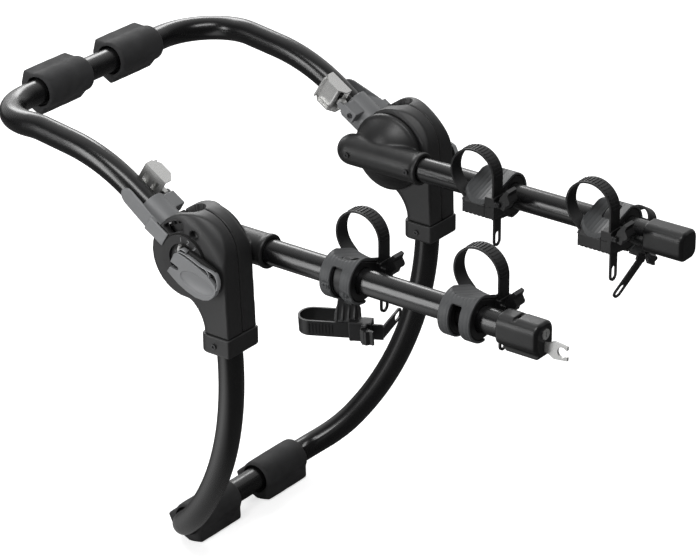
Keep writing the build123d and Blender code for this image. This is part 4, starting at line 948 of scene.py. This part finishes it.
class CARRIER_OT_stage(bpy.types.Operator):
    """Set the floor, the studio light and the camera"""

    bl_idname = "carrier.stage"
    bl_label = "Studio"

    def execute(self, context):
        scene = bpy.context.scene
        scene.view_settings.view_transform = "Standard"
        self.floor()
        self.sky(scene)
        self.lamps(scene)
        self.camera(scene)
        return {"FINISHED"}

    def floor(self):
        low = min(CAD_BOX[0][2], CAD_BOX[1][2])
        half = own("carrier_stage").floor
        bm = bmesh.new()
        bmesh.ops.create_grid(bm, x_segments=1, y_segments=1, size=half)
        mesh = finish_bmesh(bm, "floor", False)
        mesh.transform(Matrix.Translation((0, 0, low - FLOOR_DROP)))
        made = bpy.data.objects.new("floor", mesh)
        bpy.context.scene.collection.objects.link(made)
        material, tree, shader, place = start_finish("pale_floor")
        shader.inputs["Roughness"].default_value = 0.9
        shader.inputs["Specular IOR Level"].default_value = 0.0
        shader.inputs["Emission Color"].default_value = (1.0, 1.0, 1.0, 1.0)
        path = add(tree, "ShaderNodeLightPath")
        seen = math(tree, "MAXIMUM", path.outputs["Is Camera Ray"], path.outputs["Is Transmission Ray"])
        spot = add(tree, "ShaderNodeSeparateXYZ")
        tree.links.new(place, spot.inputs["Vector"])
        aside = ramp_value(tree, spot.outputs["X"], *PATCH_ASIDE)
        near = ramp_value(tree, spot.outputs["Y"], *PATCH_NEAR)
        far = ramp_value(tree, spot.outputs["Y"], *PATCH_FAR)
        sweep = math(tree, "MULTIPLY", math(tree, "MULTIPLY", near, far), aside)
        glossy = math(tree, "MULTIPLY", path.outputs["Is Glossy Ray"], sweep)
        glow = math(tree, "MAXIMUM", math(tree, "MULTIPLY", seen, FLOOR_WHITE), glossy)
        tree.links.new(glow, shader.inputs["Emission Strength"])
        tint = mix_colour(tree, path.outputs["Is Glossy Ray"], (0.90, 0.90, 0.90, 1.0), (0.12, 0.12, 0.12, 1.0))
        tree.links.new(tint, shader.inputs["Base Color"])
        mesh.materials.append(material)

    def sky(self, scene):
        world = bpy.data.worlds.new("studio")
        world.use_nodes = True
        scene.world = world
        tree = world.node_tree
        back = tree.nodes["Background"]
        path = add(tree, "ShaderNodeLightPath")
        seen = math(tree, "MAXIMUM", path.outputs["Is Camera Ray"], path.outputs["Is Transmission Ray"])
        way = add(tree, "ShaderNodeTexCoord")
        facing = add(tree, "ShaderNodeVectorMath", operation="DOT_PRODUCT")
        tree.links.new(way.outputs["Generated"], facing.inputs[0])
        facing.inputs[1].default_value = Vector(WHITE_WALL).normalized()
        wall = ramp_value(tree, facing.outputs["Value"], *WALL_RAMP)
        glossy = math(tree, "MULTIPLY", path.outputs["Is Glossy Ray"], wall)
        back.inputs["Color"].default_value = (1.0, 1.0, 1.0, 1.0)
        diffuse = math(tree, "MULTIPLY", path.outputs["Is Diffuse Ray"], SKY_DIFFUSE)
        strength = math(tree, "MAXIMUM", math(tree, "MAXIMUM", seen, glossy), diffuse)
        tree.links.new(strength, back.inputs["Strength"])

    def lamps(self, scene):
        for name, place, target, size, power in LAMPS:
            lamp = bpy.data.lights.new(name, "AREA")
            lamp.shape = "RECTANGLE"
            lamp.size, lamp.size_y = size
            lamp.energy = power
            made = bpy.data.objects.new(name, lamp)
            scene.collection.objects.link(made)
            aim = Vector(target) - Vector(place)
            made.matrix_world = Matrix.Translation(place) @ aim.to_track_quat("-Z", "Y").to_matrix().to_4x4()

    def camera(self, scene):
        lens = bpy.data.cameras.new("camera")
        lens.sensor_width = 36.0
        lens.lens = own("carrier_stage").lens
        lens.clip_end = 60.0
        made = bpy.data.objects.new("camera", lens)
        scene.collection.objects.link(made)
        right = Vector(CAMERA_RIGHT)
        down = Vector(CAMERA_DOWN)
        ahead = Vector(CAMERA_AHEAD)
        turn = Matrix((right, -down, -ahead)).transposed().to_4x4()
        made.matrix_world = Matrix.Translation(CAMERA_PLACE) @ turn
        scene.camera = made


class CARRIER_PT_tools(bpy.types.Panel):
    bl_label = "Carrier"
    bl_idname = "CARRIER_PT_tools"
    bl_space_type = "VIEW_3D"
    bl_region_type = "UI"
    bl_category = "Carrier"

    def draw(self, context):
        for operator in OPERATORS:
            self.layout.operator(operator.bl_idname)
        for name in GROUPS_OF_SIZES:
            sizes = getattr(context.scene, name)
            for key in sizes.bl_rna.properties.keys():
                if key not in {"rna_type", "name"}:
                    self.layout.prop(sizes, key)


OPERATORS = (
    CARRIER_OT_stage,
    CARRIER_OT_finishes,
    CARRIER_OT_skins,
    CARRIER_OT_levers,
    CARRIER_OT_foam,
    CARRIER_OT_dial,
)
GROUPS_OF_SIZES = {
    "carrier_colours": CarrierColours,
    "carrier_foam": FoamSizes,
    "carrier_dial": DialSizes,
    "carrier_stage": StageSizes,
}


def register():
    for name, kind in GROUPS_OF_SIZES.items():
        bpy.utils.register_class(kind)
        setattr(bpy.types.Scene, name, PointerProperty(type=kind))
    for kind in OPERATORS + (CARRIER_PT_tools,):
        bpy.utils.register_class(kind)


def unregister():
    for kind in (CARRIER_PT_tools,) + OPERATORS[::-1]:
        bpy.utils.unregister_class(kind)
    for name, kind in GROUPS_OF_SIZES.items():
        delattr(bpy.types.Scene, name)
        bpy.utils.unregister_class(kind)


def main():
    register()
    bpy.ops.carrier.stage()
    bpy.ops.carrier.finishes()
    bpy.ops.carrier.skins()
    bpy.ops.carrier.levers()
    bpy.ops.carrier.foam()
    bpy.ops.carrier.dial()


if __name__ == "__main__":
    main()
